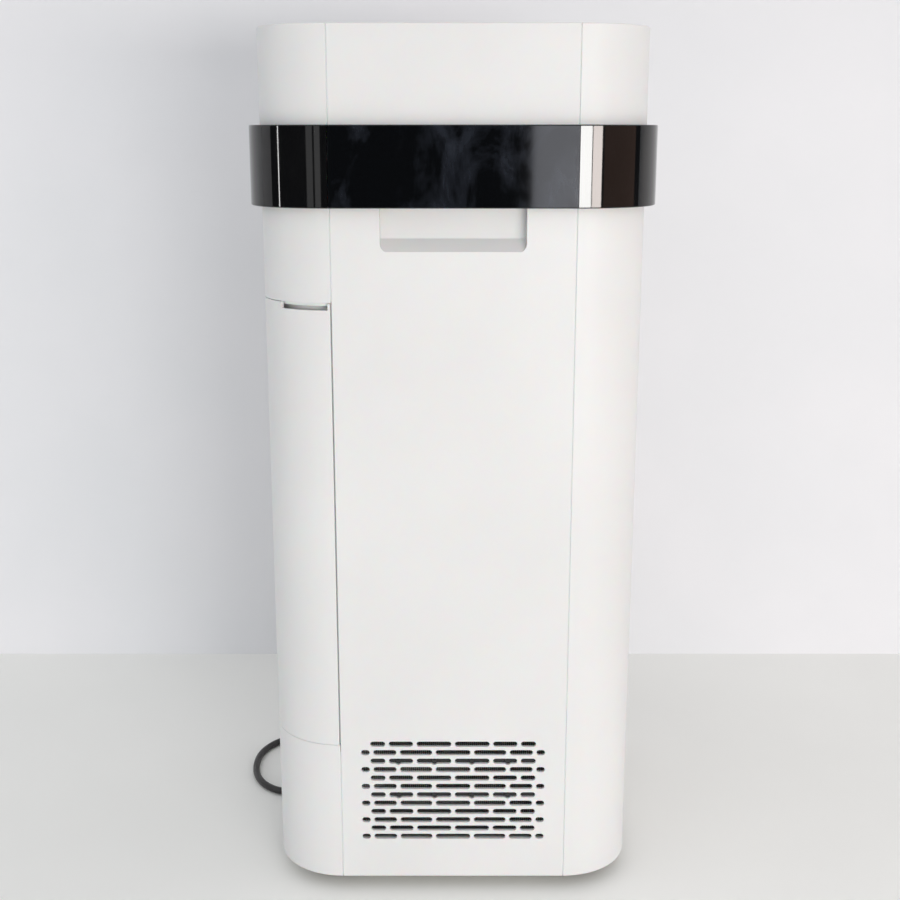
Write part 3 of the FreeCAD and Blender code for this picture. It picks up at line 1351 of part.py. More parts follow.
def switch_rocker():
    """Rocker of the mains switch, resting in its off position."""
    pivot_y = HALF_DEPTH - PIVOT_SINK
    keel = pivot_y - ROCKER_KEEL
    crown = HALF_DEPTH + ROCKER_CROWN
    horn = HALF_DEPTH + ROCKER_HORN
    shoulder = HALF_DEPTH - ROCKER_SHOULDER
    swing = (PIVOT_SINK + ROCKER_HORN) * math.sin(math.radians(ROCKER_TILT))
    half_x = SWITCH_HALF_X - SWITCH_WALL - FIT
    half_z = SWITCH_HALF_Z - SWITCH_WALL - FIT - swing
    x = SWITCH_X - half_x
    outline = [
        (x, keel, SWITCH_Z - ROCKER_KEEL_HALF),
        (x, shoulder, SWITCH_Z - half_z),
        (x, horn, SWITCH_Z - half_z),
        (x, crown, SWITCH_Z),
        (x, horn, SWITCH_Z + half_z),
        (x, shoulder, SWITCH_Z + half_z),
        (x, keel, SWITCH_Z + ROCKER_KEEL_HALF),
    ]
    pins = pivot_pin(PIVOT_RADIUS, SWITCH_HALF_X - SWITCH_WALL + PIVOT_REACH)
    rocker = prism(outline, (2 * half_x, 0, 0)).fuse(pins)
    rocker.rotate(V(SWITCH_X, pivot_y, SWITCH_Z), X_AXIS, ROCKER_TILT)
    return rocker


# ---------------------------------------------------------------- mains cord
def cord_gland():
    """Gland in the end of the cord channel, with a tapered strain relief."""
    outward = X_AXIS * -1
    foot = (GLAND_X, GLAND_Y, GLAND_Z)
    flange_radius, flange_thick = GLAND_FLANGE
    root = V(GLAND_X - flange_thick, GLAND_Y, GLAND_Z)
    tip_radius = CORD_RADIUS + RELIEF_WALL
    taper = Part.makeCone(RELIEF_ROOT, tip_radius, RELIEF_LENGTH - flange_thick, root, outward)
    piece = rod(flange_radius, flange_thick, foot, outward).fuse(rod(*GLAND_NECK, foot, X_AXIS)).fuse(taper)
    for number in range(RELIEF_GROOVES):
        x = GLAND_X - GROOVE_FIRST - number * GROOVE_PITCH
        groove = pipe(flange_radius + OVER, GROOVE_BOTTOM, GROOVE_WIDTH, (x, GLAND_Y, GLAND_Z), outward)
        piece = piece.cut(groove)
    return piece


def round_lead(route, label):
    """Tube along a route of straight runs joined by tangent arcs, each as large as its runs allow."""
    points = [V(*p) for p in route]
    edges = []
    start = points[0]
    length = 0.0
    radii = []
    for before, here, after in zip(points, points[1:], points[2:]):
        come = (here - before).normalize()
        go = (after - here).normalize()
        turn = come.getAngle(go)
        shorter = min((here - before).Length, (after - here).Length)
        setback = BEND_SHARE * shorter
        radius = setback / math.tan(turn / 2)
        radii.append(radius)
        first = here - come * setback
        last = here + go * setback
        bulge = (go - come).normalize()
        centre = here + bulge * math.hypot(setback, radius)
        middle = centre - bulge * radius
        edges.append(Part.LineSegment(start, first).toShape())
        edges.append(Part.Arc(first, middle, last).toShape())
        length += (first - start).Length + radius * turn
        start = last
    edges.append(Part.LineSegment(start, points[-1]).toShape())
    length += (points[-1] - start).Length
    wire = Part.Wire(edges)
    heading = points[1] - points[0]
    section = Part.Wire([Part.makeCircle(CORD_RADIUS, points[0], heading)])
    tube = wire.makePipeShell([section], True, False)
    share = tube.Volume / (math.pi * CORD_RADIUS ** 2 * length)
    print(label, "length", round(length, 1), "volume share", round(share, 4), "tightest", round(min(radii), 1))
    return tube


def mains_cord():
    """The lead from the strain relief, out under the left side and round to the coil."""
    return round_lead(CORD_ROUTE, "mains_cord")


def cord_coil():
    """Outer shape of the coiled length."""
    coil = pipe(COIL_OUTER, COIL_INNER, COIL_HEIGHT, (*COIL_CENTRE, COIL_LIFT))
    return coil.makeFillet(COIL_ROUND, [e for e in coil.Edges if len(e.Vertexes) == 1])


def cord_tie():
    """Strap round the coil's section."""
    x, y = COIL_CENTRE
    y0 = y + COIL_INNER - FIT
    y1 = y + COIL_OUTER + FIT
    z0 = COIL_LIFT - FIT
    z1 = COIL_LIFT + COIL_HEIGHT + FIT
    half = TIE_WIDTH / 2
    strap = box(x - half, x + half, y0 - TIE_WALL, y1 + TIE_WALL, z0 - TIE_WALL, z1 + TIE_WALL)
    return strap.cut(box(x - half, x + half, y0, y1, z0, z1))


def cord_tail():
    """The last of the lead, from the coil to the plug."""
    return round_lead(TAIL_ROUTE, "cord_tail")


def laid_at_tail(piece):
    """A piece modelled along +X from the lead's end, laid where the lead ends."""
    piece.translate(V(-PLUG_GRIP, 0, 0))
    piece.rotate(V(0, 0, 0), Z_AXIS, PLUG_YAW)
    piece.translate(V(*TAIL_ROUTE[-1]))
    return piece


def plug():
    """Plug body with a tapered neck, lying beside the coil."""
    face = NECK_LENGTH + PLUG_LENGTH
    neck = Part.makeCone(CORD_RADIUS + NECK_WALL, NECK_END, NECK_LENGTH, V(0, 0, 0), X_AXIS)
    body = box(NECK_LENGTH, face, -PLUG_HALF_WIDTH, PLUG_HALF_WIDTH, -PLUG_HALF_HEIGHT, PLUG_HALF_HEIGHT)
    return laid_at_tail(fuse([neck, body.makeFillet(PLUG_HALF_HEIGHT / 3, body.Edges)]))


def plug_blades():
    """The plug's two flat blades, standing out of its face."""
    face = NECK_LENGTH + PLUG_LENGTH
    blades = []
    for side in (-1, 1):
        y = side * BLADE_SPACING / 2
        half = BLADE_THICK / 2
        contact = box(face, face + BLADE_LENGTH, y - half, y + half, -BLADE_WIDTH / 2, BLADE_WIDTH / 2)
        blades.append(laid_at_tail(contact))
    return blades


# ---------------------------------------------------------------- writing
def write(name, shape):
    """Checks a piece and writes it as parts/NAME.step."""
    solids = shape if isinstance(shape, list) else [shape]
    found = [solid for item in solids for solid in item.Solids]
    for solid in found:
        if not solid.isValid() or solid.Volume <= 0:
            raise ValueError(name + " has a bad solid")
    Part.makeCompound(found).exportStep(os.path.join("parts", name + ".step"))


def pieces():
    """Every node's name and shape."""
    made = {
        "left_side_shell": side_shell(-1),
        "right_side_shell": side_shell(1),
        "front_upper_panel": front_upper_panel(),
        "front_panel": front_panel(),
        "intake_screen": intake_screen(),
        "panel_magnets": panel_magnets(),
        "magnet_strikes": magnet_strikes(),
        "rear_panel": rear_panel(),
        "rear_screws": rear_screws(),
        "band_ring": band_ring(),
        "display_lens": display_lens(),
        "display_board": display_board(),
        "display_segments": display_segments(),
        "corner_cover": corner_cover(),
        "accessory_bay": accessory_bay(),
        "air_quality_sensor": air_quality_sensor(),
        "base_pan": base_pan(),
        "caster_sockets": caster_sockets(),
        "filter_housing": filter_housing(),
        "prefilter_frame": prefilter_frame(),
        "prefilter_mesh": prefilter_mesh(),
        "ioniser_frame": ioniser_frame(),
        "ioniser_wires": ioniser_wires(),
        "collector_case": collector_case(),
        "collector_plates": collector_plates(),
        "carbon_frame": carbon_frame(),
        "carbon_block": carbon_block(),
        "fan_deck": fan_deck(),
        "impeller": impeller(),
        "motor_shaft": motor_shaft(),
        "impeller_nut": impeller_nut(),
        "motor_housing": motor_housing(),
        "motor_bearings": motor_bearings(),
        "motor_stator": motor_stator(),
        "motor_rotor": motor_rotor(),
        "motor_mount": motor_mount(),
        "fan_duct": fan_duct(),
        "outlet_diffuser": outlet_diffuser(),
        "top_frame": top_frame(),
        "outlet_grille": outlet_grille(),
        "main_board": main_board(),
        "high_voltage_module": high_voltage_module(),
        "power_supply": power_supply(),
        "switch_housing": switch_housing(),
        "switch_rocker": switch_rocker(),
        "cord_gland": cord_gland(),
        "mains_cord": mains_cord(),
        "cord_coil": cord_coil(),
        "cord_tie": cord_tie(),
        "cord_tail": cord_tail(),
        "plug": plug(),
        "plug_blades": plug_blades(),
    }
    for name, x, y in caster_places():
        made["caster_fork_" + name] = caster_fork(x, y)
        made["caster_wheel_" + name] = caster_wheel(x, y)
    return made


def main():
    """Builds every piece and writes it."""
    os.makedirs("parts", exist_ok=True)
    for name, shape in pieces().items():
        write(name, shape)


main()
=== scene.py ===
# %% [markdown]
# # A tall air purifier
#
# The object is a white moulded tower with a glossy black band round its head. The CAD model already
# holds every rigid part at its real size, so this lesson adds what CAD leaves out: finishes, the mains
# lead, woven and honeycomb filter media, and the light of a plain studio. Lengths are in metres, except
# where a name or a comment says millimetres, and the front faces -Y.

# %% Load the frame
import bpy
import bmesh
import math
from mathutils import Matrix, Vector


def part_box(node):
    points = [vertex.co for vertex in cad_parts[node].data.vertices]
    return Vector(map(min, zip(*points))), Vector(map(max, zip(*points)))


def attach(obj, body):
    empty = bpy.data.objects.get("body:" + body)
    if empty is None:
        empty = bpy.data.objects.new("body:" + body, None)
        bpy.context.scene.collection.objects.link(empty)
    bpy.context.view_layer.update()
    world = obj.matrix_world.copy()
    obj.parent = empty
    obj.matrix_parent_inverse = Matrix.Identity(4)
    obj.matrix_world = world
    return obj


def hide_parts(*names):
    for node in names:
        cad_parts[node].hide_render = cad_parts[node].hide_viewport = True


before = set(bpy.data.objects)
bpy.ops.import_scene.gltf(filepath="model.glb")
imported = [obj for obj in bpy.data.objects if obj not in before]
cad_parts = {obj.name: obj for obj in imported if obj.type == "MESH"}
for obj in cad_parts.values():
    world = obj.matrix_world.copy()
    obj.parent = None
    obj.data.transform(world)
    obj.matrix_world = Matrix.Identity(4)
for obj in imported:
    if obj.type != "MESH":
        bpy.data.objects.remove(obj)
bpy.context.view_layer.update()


MM = 0.001

# %% [markdown]
# ## Working with colour and nodes
#
# Colours are easiest to judge as the hex values a painter or a web page uses, but the renderer works in
# linear light. One function converts them. A second one adds any shader node, sets it and links it, so
# that each material below reads as a short recipe.

# %% Colour and node helpers
def colour(code):
    """sRGB hex such as 'F0EFED' as a linear RGBA tuple."""
    channels = [int(code[i:i + 2], 16) / 255 for i in (0, 2, 4)]
    return tuple(c / 12.92 if c <= 0.04045 else ((c + 0.055) / 1.055) ** 2.4 for c in channels) + (1.0,)


def add(material, kind, settings=None, links=None):
    """Adds a node: settings name its properties or input sockets, links pair its inputs with sources."""
    node = material.node_tree.nodes.new(kind)
    for name, value in (settings or {}).items():
        if hasattr(node, name):
            setattr(node, name, value)
        else:
            node.inputs[name].default_value = value
    for name, source in (links or {}).items():
        material.node_tree.links.new(source, node.inputs[name])
    return node


def start(name, **surface):
    """A new material with one Principled shader; surface names its sockets, spaces as underscores."""
    material = bpy.data.materials.new(name)
    material.use_nodes = True
    shader = material.node_tree.nodes["Principled BSDF"]
    for socket, value in surface.items():
        shader.inputs[socket.replace("_", " ")].default_value = value
    return material, shader


def join(material, source, node, socket):
    """Links a source socket to one of the sockets of a node that is already there."""
    material.node_tree.links.new(source, node.inputs[socket])


print("helpers ready")

# %% [markdown]
# ## Grain, the base of every moulded part
#
# A moulded part copies the steel of its mould. A spark-eroded mould leaves a fine random grain, which
# scatters light softly. It could be a displaced mesh, but at this size only its shading counts, so it is
# a bump driven by noise. The real grain is about 0.3 mm; on the white parts it is drawn at 1.4 mm so that
# it can still be seen, and kept very shallow. A second, much slower noise shifts the colour a little.

# %% Grain helper
def per_metre(size_mm):
    """Noise scale that gives features of about this many millimetres."""
    return 1.0 / (size_mm * MM)


def place(material):
    """Object coordinates, which are the part's own metres."""
    return add(material, "ShaderNodeTexCoord").outputs["Object"]


def grain(material, shader, size_mm, height_mm, strength):
    """Random bump of a given size and height."""
    noise = add(material, "ShaderNodeTexNoise", {"Scale": per_metre(size_mm), "Detail": 2.0},
                {"Vector": place(material)})
    bump = add(material, "ShaderNodeBump", {"Strength": strength, "Distance": height_mm * MM},
               {"Height": noise.outputs["Fac"]})
    join(material, bump.outputs["Normal"], shader, "Normal")
    return noise


NOISE_LOW = 0.3
NOISE_HIGH = 0.7


def drift(material, shader, noise, low, high):
    """Lets the roughness wander between two values as a noise goes up and down."""
    limits = {"From Min": NOISE_LOW, "From Max": NOISE_HIGH, "To Min": low, "To Max": high}
    spread = add(material, "ShaderNodeMapRange", limits, {"Value": noise.outputs["Fac"]})
    join(material, spread.outputs["Result"], shader, "Roughness")


def set_stops(ramp, first_at, first, second_at, second):
    """Places the two stops of a colour ramp and gives them their hex colours."""
    start_stop, end_stop = ramp.color_ramp.elements
    start_stop.position = first_at
    start_stop.color = colour(first)
    end_stop.position = second_at
    end_stop.color = colour(second)


def tint(material, shader, size_mm, first, second, stretch=(1, 1, 1)):
    """Slow change between two near colours over the surface."""
    move = add(material, "ShaderNodeMapping", {"Scale": stretch}, {"Vector": place(material)})
    noise = add(material, "ShaderNodeTexNoise", {"Scale": per_metre(size_mm), "Detail": 3.0},
                {"Vector": move.outputs["Vector"]})
    ramp = add(material, "ShaderNodeValToRGB", None, {"Fac": noise.outputs["Fac"]})
    set_stops(ramp, 0.35, first, 0.65, second)
    join(material, ramp.outputs["Color"], shader, "Base Color")
    return noise


print("grain and tint ready")

# %% [markdown]
# ## White ABS
#
# The outer panels are ABS, moulded in a spark-eroded tool and left unpainted. That gives an even white
# with a matt sheen: bright where light grazes it, never a sharp reflection. Light also travels a few
# millimetres inside white plastic, which softens every seam, so the recipe has some subsurface
# scattering. The inner mouldings are the same plastic a shade greyer and the drawers are grey. The
# pocket behind the corner cover gets a white brighter than the panels, a painted light that lifts the
# shade in that recess; the dust seals in the seams use it too.

# %% White ABS materials
SCATTER_REACH = 3 * MM
ABS_GRAIN_MM = 1.4
ABS_GRAIN_DEPTH_MM = 0.02
ABS_DRIFT = 0.05


def white_abs(name, first, second, roughness):
    """Spark-textured ABS between two near whites."""
    material, shader = start(name, Roughness=roughness, IOR=1.53, Subsurface_Weight=0.3,
                             Subsurface_Scale=SCATTER_REACH)
    tint(material, shader, 180, first, second)
    noise = grain(material, shader, ABS_GRAIN_MM, ABS_GRAIN_DEPTH_MM, strength=0.35)
    drift(material, shader, noise, roughness - ABS_DRIFT, roughness + ABS_DRIFT)
    return material


outer_abs = white_abs("outer_white_abs", "E0E0DF", "E4E4E3", 0.46)
inner_abs = white_abs("inner_white_abs", "D6D6D2", "DBDBD7", 0.55)
# Painted light: a white brighter than the panels, which lifts the shade inside the pocket and the seams.
painted_light_abs = white_abs("painted_light_white_abs", "F0F0EE", "F3F3F1", 0.5)
drawer_abs = white_abs("drawer_grey_abs", "B4B6B8", "BCBEC0", 0.5)
print("white ABS", outer_abs.name, inner_abs.name, painted_light_abs.name, drawer_abs.name)

# %% [markdown]
# ## Piano black
#
# The band is black ABS from a mirror-polished tool. The eye sees almost nothing of the plastic itself,
# only what it reflects, so its roughness and the slight waviness of a thin moulding matter most. The
# display window is smoked acrylic, flatter and a touch blue, and it has been wiped by hand: the cloth
# leaves wispy grey clouds. A texture could be painted for them, but stretching and distorting a noise
# gives them at any size, and the same noise lifts the colour and the roughness.

# %% Black gloss materials
def waviness(material, shader, size_mm, height_mm):
    """Long shallow waves that bend a reflection."""
    noise = add(material, "ShaderNodeTexNoise", {"Scale": per_metre(size_mm), "Detail": 0.0},
                {"Vector": place(material)})
    bump = add(material, "ShaderNodeBump", {"Strength": 1.0, "Distance": height_mm * MM},
               {"Height": noise.outputs["Fac"]})
    join(material, bump.outputs["Normal"], shader, "Normal")


band_black, band_shader = start("polished_black_abs", IOR=1.5)
polish = tint(band_black, band_shader, 30, "050505", "090909", stretch=(1, 1, 0.5))
drift(band_black, band_shader, polish, 0.03, 0.08)
waviness(band_black, band_shader, 55, 0.02)

WIPE_SLANT = math.radians(38)
window_black, window_shader = start("smoked_acrylic", IOR=1.49)
slant = add(window_black, "ShaderNodeMapping", {"Rotation": (0, WIPE_SLANT, 0), "Scale": (1, 1, 0.6)},
            {"Vector": place(window_black)})
clouds = add(window_black, "ShaderNodeTexNoise",
             {"Scale": per_metre(42), "Detail": 7.0, "Roughness": 0.62, "Distortion": 0.55},
             {"Vector": slant.outputs["Vector"]})
haze = add(window_black, "ShaderNodeValToRGB", None, {"Fac": clouds.outputs["Fac"]})
set_stops(haze, 0.5, "020304", 0.74, "2C3038")
join(window_black, haze.outputs["Color"], window_shader, "Base Color")
drift(window_black, window_shader, clouds, 0.02, 0.07)
waviness(window_black, window_shader, 120, 0.012)
print("black gloss", band_black.name, window_black.name)

# %% [markdown]
# ## Small parts
#
# Dark mouldings, rubber, cord jacket, boards and metals each get a short recipe of their own. They are
# mostly inside or underneath, but the drawers open and the front lifts off, so none is a flat colour.

# %% Dark plastics and rubber
DARK_DRIFT = 0.06


def dark_moulding(name, first, second, roughness, grain_mm=1.0, height_mm=0.02):
    """Dark moulded plastic, rubber or fibre with a fine grain of its own size and depth."""
    material, shader = start(name, IOR=1.5)
    tint(material, shader, 25, first, second)
    noise = grain(material, shader, grain_mm, height_mm, strength=0.4)
    drift(material, shader, noise, roughness - DARK_DRIFT, roughness + DARK_DRIFT)
    return material


sensor_black = dark_moulding("sensor_moulded_black", "1B1B1C", "222223", 0.5)
caster_nylon = dark_moulding("caster_moulded_nylon", "3B3C3E", "434446", 0.45)
wheel_rubber = dark_moulding("wheel_soft_rubber", "2A2A2B", "323233", 0.7, 1.5, 0.04)
fan_nylon = dark_moulding("fan_glass_filled_nylon", "26272A", "303134", 0.5, 2.0, 0.03)
potting = dark_moulding("potting_resin", "17181A", "1E1F22", 0.35, 8.0, 0.1)
switch_nylon = dark_moulding("switch_moulded_nylon", "1A1A1B", "202021", 0.3)
cord_pvc = dark_moulding("cord_extruded_pvc", "1D1B1B", "272424", 0.38, 2.2, 0.03)
tie_strap = dark_moulding("tie_hook_and_loop", "141415", "1D1D1E", 0.85, 0.8, 0.15)
print("dark mouldings", sensor_black.name, caster_nylon.name, wheel_rubber.name, fan_nylon.name)


# %% Metals
METAL_DRIFT = 0.07


def metal(name, first, second, roughness, streak=(1, 1, 1), size_mm=3.0):
    """Bare metal whose streaks follow the way it was rolled, drawn or turned."""
    material, shader = start(name, Metallic=1.0)
    streaks = tint(material, shader, size_mm, first, second, stretch=streak)
    drift(material, shader, streaks, roughness - METAL_DRIFT, roughness + METAL_DRIFT)
    return material


zinc_plate = metal("zinc_plated_steel", "AEB0B4", "BFC1C4", 0.35)
nickel_plate = metal("nickel_plate", "BDB8AE", "C9C4BA", 0.2)
rolled_aluminium = metal("rolled_aluminium", "C6C8CA", "D6D8DA", 0.32, streak=(1, 0.02, 1), size_mm=0.8)
drawn_wire = metal("drawn_tungsten_wire", "A29E98", "B4B0A9", 0.3)
motor_zinc = metal("motor_spangled_zinc", "9DA0A3", "B2B5B8", 0.42, size_mm=6.0)
winding_copper = metal("enamelled_copper", "A85F32", "C07A48", 0.3, streak=(1, 1, 8), size_mm=2.0)
blade_nickel = metal("blade_nickel_plated_brass", "C9C2AE", "D6CFBC", 0.25)
print("metals", zinc_plate.name, nickel_plate.name, rolled_aluminium.name)

# %% [markdown]
# ## Boards and digits
#
# A circuit board is green solder mask over copper tracks. The tracks show as slightly lighter lines on a
# grid, so a brick pattern of fine lines stands for them. The digits behind the window are unlit diffusing
# plastic.

# %% Board and display materials
TRACK_PITCH_MM = 6.0
board_green, board_shader = start("solder_mask_on_laminate", Roughness=0.35, IOR=1.5)
upright = add(board_green, "ShaderNodeMapping", {"Rotation": (math.radians(90), 0, 0)},
              {"Vector": place(board_green)})
mask = {"Color1": colour("0E4A2B"), "Color2": colour("0B4026"), "Mortar": colour("2C7A4E")}
tracks = add(board_green, "ShaderNodeTexBrick",
             {"Scale": per_metre(TRACK_PITCH_MM), "Mortar Size": 0.03, **mask},
             {"Vector": upright.outputs["Vector"]})
join(board_green, tracks.outputs["Color"], board_shader, "Base Color")
digits_grey, digits_shader = start("unlit_segment_diffuser", Roughness=0.4, IOR=1.5)
tint(digits_grey, digits_shader, 12, "3A3B3E", "45464A")
print("boards", board_green.name, digits_grey.name)

# %% [markdown]
# ## Nylon thread and carbon paper
#
# The insect screen is woven from black monofilament, and the pre-filter is a net of the same nylon. Either
# could be two crossed wave patterns in a shader, but once the front is off the holes should be real holes,
# so both get a mesh of crossing threads further down. The thread's material only needs a soft sheen. The
# carbon filter is black paper, which is duller than any plastic here.

# %% Thread and carbon materials
thread_nylon = dark_moulding("woven_monofilament_nylon", "161617", "1F1F20", 0.45, 0.9, 0.02)
carbon_paper = dark_moulding("carbon_filled_paper", "101011", "19191B", 0.9, 0.7, 0.1)
print("filter media", thread_nylon.name, carbon_paper.name)

# %% [markdown]
# ## Giving each CAD part its finish
#
# The frame's objects keep their meshes. Each one has material slots, and every slot of a node gets the
# finish of that node. One table pairs the finishes with the parts that are made of them.

# %% Assign the finishes
FINISHES = {
    outer_abs: ["left_side_shell", "right_side_shell", "front_upper_panel", "front_panel", "rear_panel",
                "corner_cover", "top_frame", "outlet_grille"],
    # The pocket gets the white that is painted brighter to lift the shade inside it.
    painted_light_abs: ["accessory_bay"],
    inner_abs: ["base_pan", "filter_housing", "fan_deck", "fan_duct", "outlet_diffuser",
                "motor_mount"],
    drawer_abs: ["prefilter_frame", "ioniser_frame", "collector_case", "carbon_frame"],
    band_black: ["band_ring"],
    window_black: ["display_lens"],
    sensor_black: ["air_quality_sensor"],
    caster_nylon: ["caster_sockets"],
    fan_nylon: ["impeller"],
    potting: ["high_voltage_module"],
    switch_nylon: ["switch_housing", "switch_rocker"],
    cord_pvc: ["cord_gland"],
    zinc_plate: ["magnet_strikes", "rear_screws", "motor_shaft", "impeller_nut", "motor_bearings"],
    nickel_plate: ["panel_magnets", "motor_rotor"],
    rolled_aluminium: ["collector_plates"],
    drawn_wire: ["ioniser_wires"],
    motor_zinc: ["motor_housing", "power_supply"],
    winding_copper: ["motor_stator"],
    blade_nickel: ["plug_blades"],
    board_green: ["display_board", "main_board"],
    digits_grey: ["display_segments"],
}
for corner in ("front_left", "front_right", "rear_left", "rear_right"):
    FINISHES[caster_nylon].append("caster_fork_" + corner)
    FINISHES.setdefault(wheel_rubber, []).append("caster_wheel_" + corner)


def dress(obj, material):
    """Puts one material in every slot of an object."""
    if not obj.material_slots:
        obj.data.materials.append(material)
    for slot in obj.material_slots:
        slot.material = material


dressed = set()
for material, names in FINISHES.items():
    for name in names:
        dress(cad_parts[name], material)
        dressed.add(name)
print("dressed", len(dressed), "left out", sorted(set(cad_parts) - dressed))

# %% [markdown]
# ## Pieces built as meshes
#
# Woven, netted and honeycomb sheets are plain slabs in the CAD model. They could be faked by a shader
# with holes in it, but the drawers slide out into plain view, so each is built from real strands and
# walls. A few small helpers do the work: they close a row of rings into a skin, and add a strand, a block
# with softened edges, or a border of four blocks. The last one turns the result into an object that rides
# its body and takes the CAD node's place.

# %% Mesh helpers
X = Vector((1, 0, 0))
Y = Vector((0, 1, 0))
Z = Vector((0, 0, 1))


def skin(bm, rings):
    """Faces from each ring of points to the next, and one face over each end."""
    for ring, after in zip(rings, rings[1:]):
        for number in range(len(ring)):
            following = (number + 1) % len(ring)
            bm.faces.new((ring[number], ring[following], after[following], after[number]))
    bm.faces.new(rings[0][::-1])
    bm.faces.new(rings[-1])


def strand(bm, points, radius, across, up, sides=6):
    """A thin rod through points; across and up are unit directions square to it."""
    rings = []
    for point in points:
        ring = []
        for number in range(sides):
            angle = 2 * math.pi * number / sides
            offset = across * (radius * math.cos(angle)) + up * (radius * math.sin(angle))
            ring.append(bm.verts.new(point + offset))
        rings.append(ring)
    skin(bm, rings)


def block(bm, low, high, soften):
    """A block between two corners whose edges are rounded."""
    middle = (low + high) / 2
    shape = Matrix.Translation(middle) @ Matrix.Diagonal((*(high - low), 1.0))
    verts = bmesh.ops.create_cube(bm, size=1.0, matrix=shape)["verts"]
    edges = list({edge for vert in verts for edge in vert.link_edges})
    bmesh.ops.bevel(bm, geom=edges, offset=soften, segments=2, affect="EDGES", profile=0.7)


def border(bm, low, high, width, soften):
    """Four blocks round the edge of a flat box."""
    for y_low, y_high in ((low.y, low.y + width), (high.y - width, high.y)):
        block(bm, Vector((low.x, y_low, low.z)), Vector((high.x, y_high, high.z)), soften)
    for x_low, x_high in ((low.x, low.x + width), (high.x - width, high.x)):
        block(bm, Vector((x_low, low.y, low.z)), Vector((x_high, high.y, high.z)), soften)


def finish_piece(name, bm, material, body, slot, *nodes):
    """Writes a bmesh to an object that rides a body and stands in for CAD nodes."""
    bmesh.ops.recalc_face_normals(bm, faces=bm.faces)
    mesh = bpy.data.meshes.new(name)
    bm.to_mesh(mesh)
    bm.free()
    mesh.materials.append(material)
    obj = bpy.data.objects.new(name, mesh)
    bpy.context.scene.collection.objects.link(obj)
    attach(obj, body)
    if nodes:
        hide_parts(*nodes)
    print(name, len(mesh.vertices), "points", len(mesh.polygons), "faces")
    return obj


def corners(node):
    """Lowest and highest corner of a CAD node as vectors."""
    low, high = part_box(node)
    return Vector(low), Vector(high)


print("mesh helpers ready")

# %% [markdown]
# ## Insect screen
#
# Behind the front slots sits a moulded frame with fine black monofilament woven across it, plain weave:
# every thread passes over one and under the next. The frame is clipped in by eight pegs whose ends show
# in the notches under two rows of slots. The real mesh has a thread every 0.9 mm; it is drawn every
# 1.8 mm so that the weave still shows. The weave could be flat lines, but then it would not shimmer, so
# each thread is bent up and down as it crosses the others.

# %% Find the screen's pegs
SCREEN_THICK = 1.5 * MM
RIM_WIDTH = 3.0 * MM
PEG_RADIUS = 2.3 * MM
TIP_SLACK = 0.1 * MM
screen_low, screen_high = corners("intake_screen")
face_y = screen_high.y - SCREEN_THICK
peg_tips = []
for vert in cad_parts["intake_screen"].data.vertices:
    if vert.co.y < screen_low.y + TIP_SLACK:
        near = [tip for tip in peg_tips if (tip[0] - vert.co).length < 3 * PEG_RADIUS]
        if near:
            near[0].append(vert.co.copy())
        else:
            peg_tips.append([vert.co.copy()])
pegs = [sum(tip, Vector()) / len(tip) for tip in peg_tips]
print("pegs found", len(pegs))

# %% Build the screen frame
RIM_SOFTEN = 0.4 * MM
BAR_SOFTEN = 0.3 * MM
PEG_CHAMFER = 0.3 * MM
bm = bmesh.new()
inner_x = screen_high.x - RIM_WIDTH
for x_low, x_high in ((-screen_high.x, -inner_x), (inner_x, screen_high.x)):
    low = Vector((x_low, face_y, screen_low.z))
    high = Vector((x_high, screen_high.y, screen_high.z))
    block(bm, low, high, RIM_SOFTEN)
bars = {round(peg.z, 4) for peg in pegs}
strips = [(screen_low.z, screen_low.z + RIM_WIDTH), (screen_high.z - RIM_WIDTH, screen_high.z)]
strips += [(z - PEG_RADIUS, z + PEG_RADIUS) for z in sorted(bars)]
for z_low, z_high in strips:
    block(bm, Vector((-inner_x, face_y, z_low)), Vector((inner_x, screen_high.y, z_high)), BAR_SOFTEN)
for peg in pegs:
    foot = Vector((peg.x, face_y, peg.z))
    tip = Vector((peg.x, screen_low.y, peg.z))
    shoulder = tip + Y * PEG_CHAMFER
    strand(bm, [foot, shoulder], PEG_RADIUS, X, Z, sides=24)
    strand(bm, [shoulder, tip], PEG_RADIUS - PEG_CHAMFER, X, Z, sides=24)
finish_piece("insect_screen_frame", bm, sensor_black, "front_panel", "insect_mesh", "intake_screen")

# %% Weave the threads
THREAD_PITCH = 1.8 * MM
THREAD_RADIUS = 0.22 * MM


def woven_lines(first, last, pitch):
    """Evenly spaced places between two limits."""
    count = int((last - first) / pitch)
    return [first + (last - first) * (number + 0.5) / count for number in range(count)]


bm = bmesh.new()
weave_y = (face_y + screen_high.y) / 2
columns = woven_lines(-inner_x, inner_x, THREAD_PITCH)
rows = woven_lines(screen_low.z + RIM_WIDTH, screen_high.z - RIM_WIDTH, THREAD_PITCH)
for column, x in enumerate(columns):
    points = [Vector((x, weave_y, screen_low.z + RIM_WIDTH / 2))]
    for row, z in enumerate(rows):
        points.append(Vector((x, weave_y + THREAD_RADIUS * (-1) ** (column + row), z)))
    points.append(Vector((x, weave_y, screen_high.z - RIM_WIDTH / 2)))
    strand(bm, points, THREAD_RADIUS, X, Y, sides=4)
for row, z in enumerate(rows):
    points = [Vector((-inner_x - RIM_WIDTH / 2, weave_y, z))]
    for column, x in enumerate(columns):
        points.append(Vector((x, weave_y - THREAD_RADIUS * (-1) ** (column + row), z)))
    points.append(Vector((inner_x + RIM_WIDTH / 2, weave_y, z)))
    strand(bm, points, THREAD_RADIUS, Y, Z, sides=4)
finish_piece("insect_screen_weave", bm, thread_nylon, "front_panel", "insect_mesh")
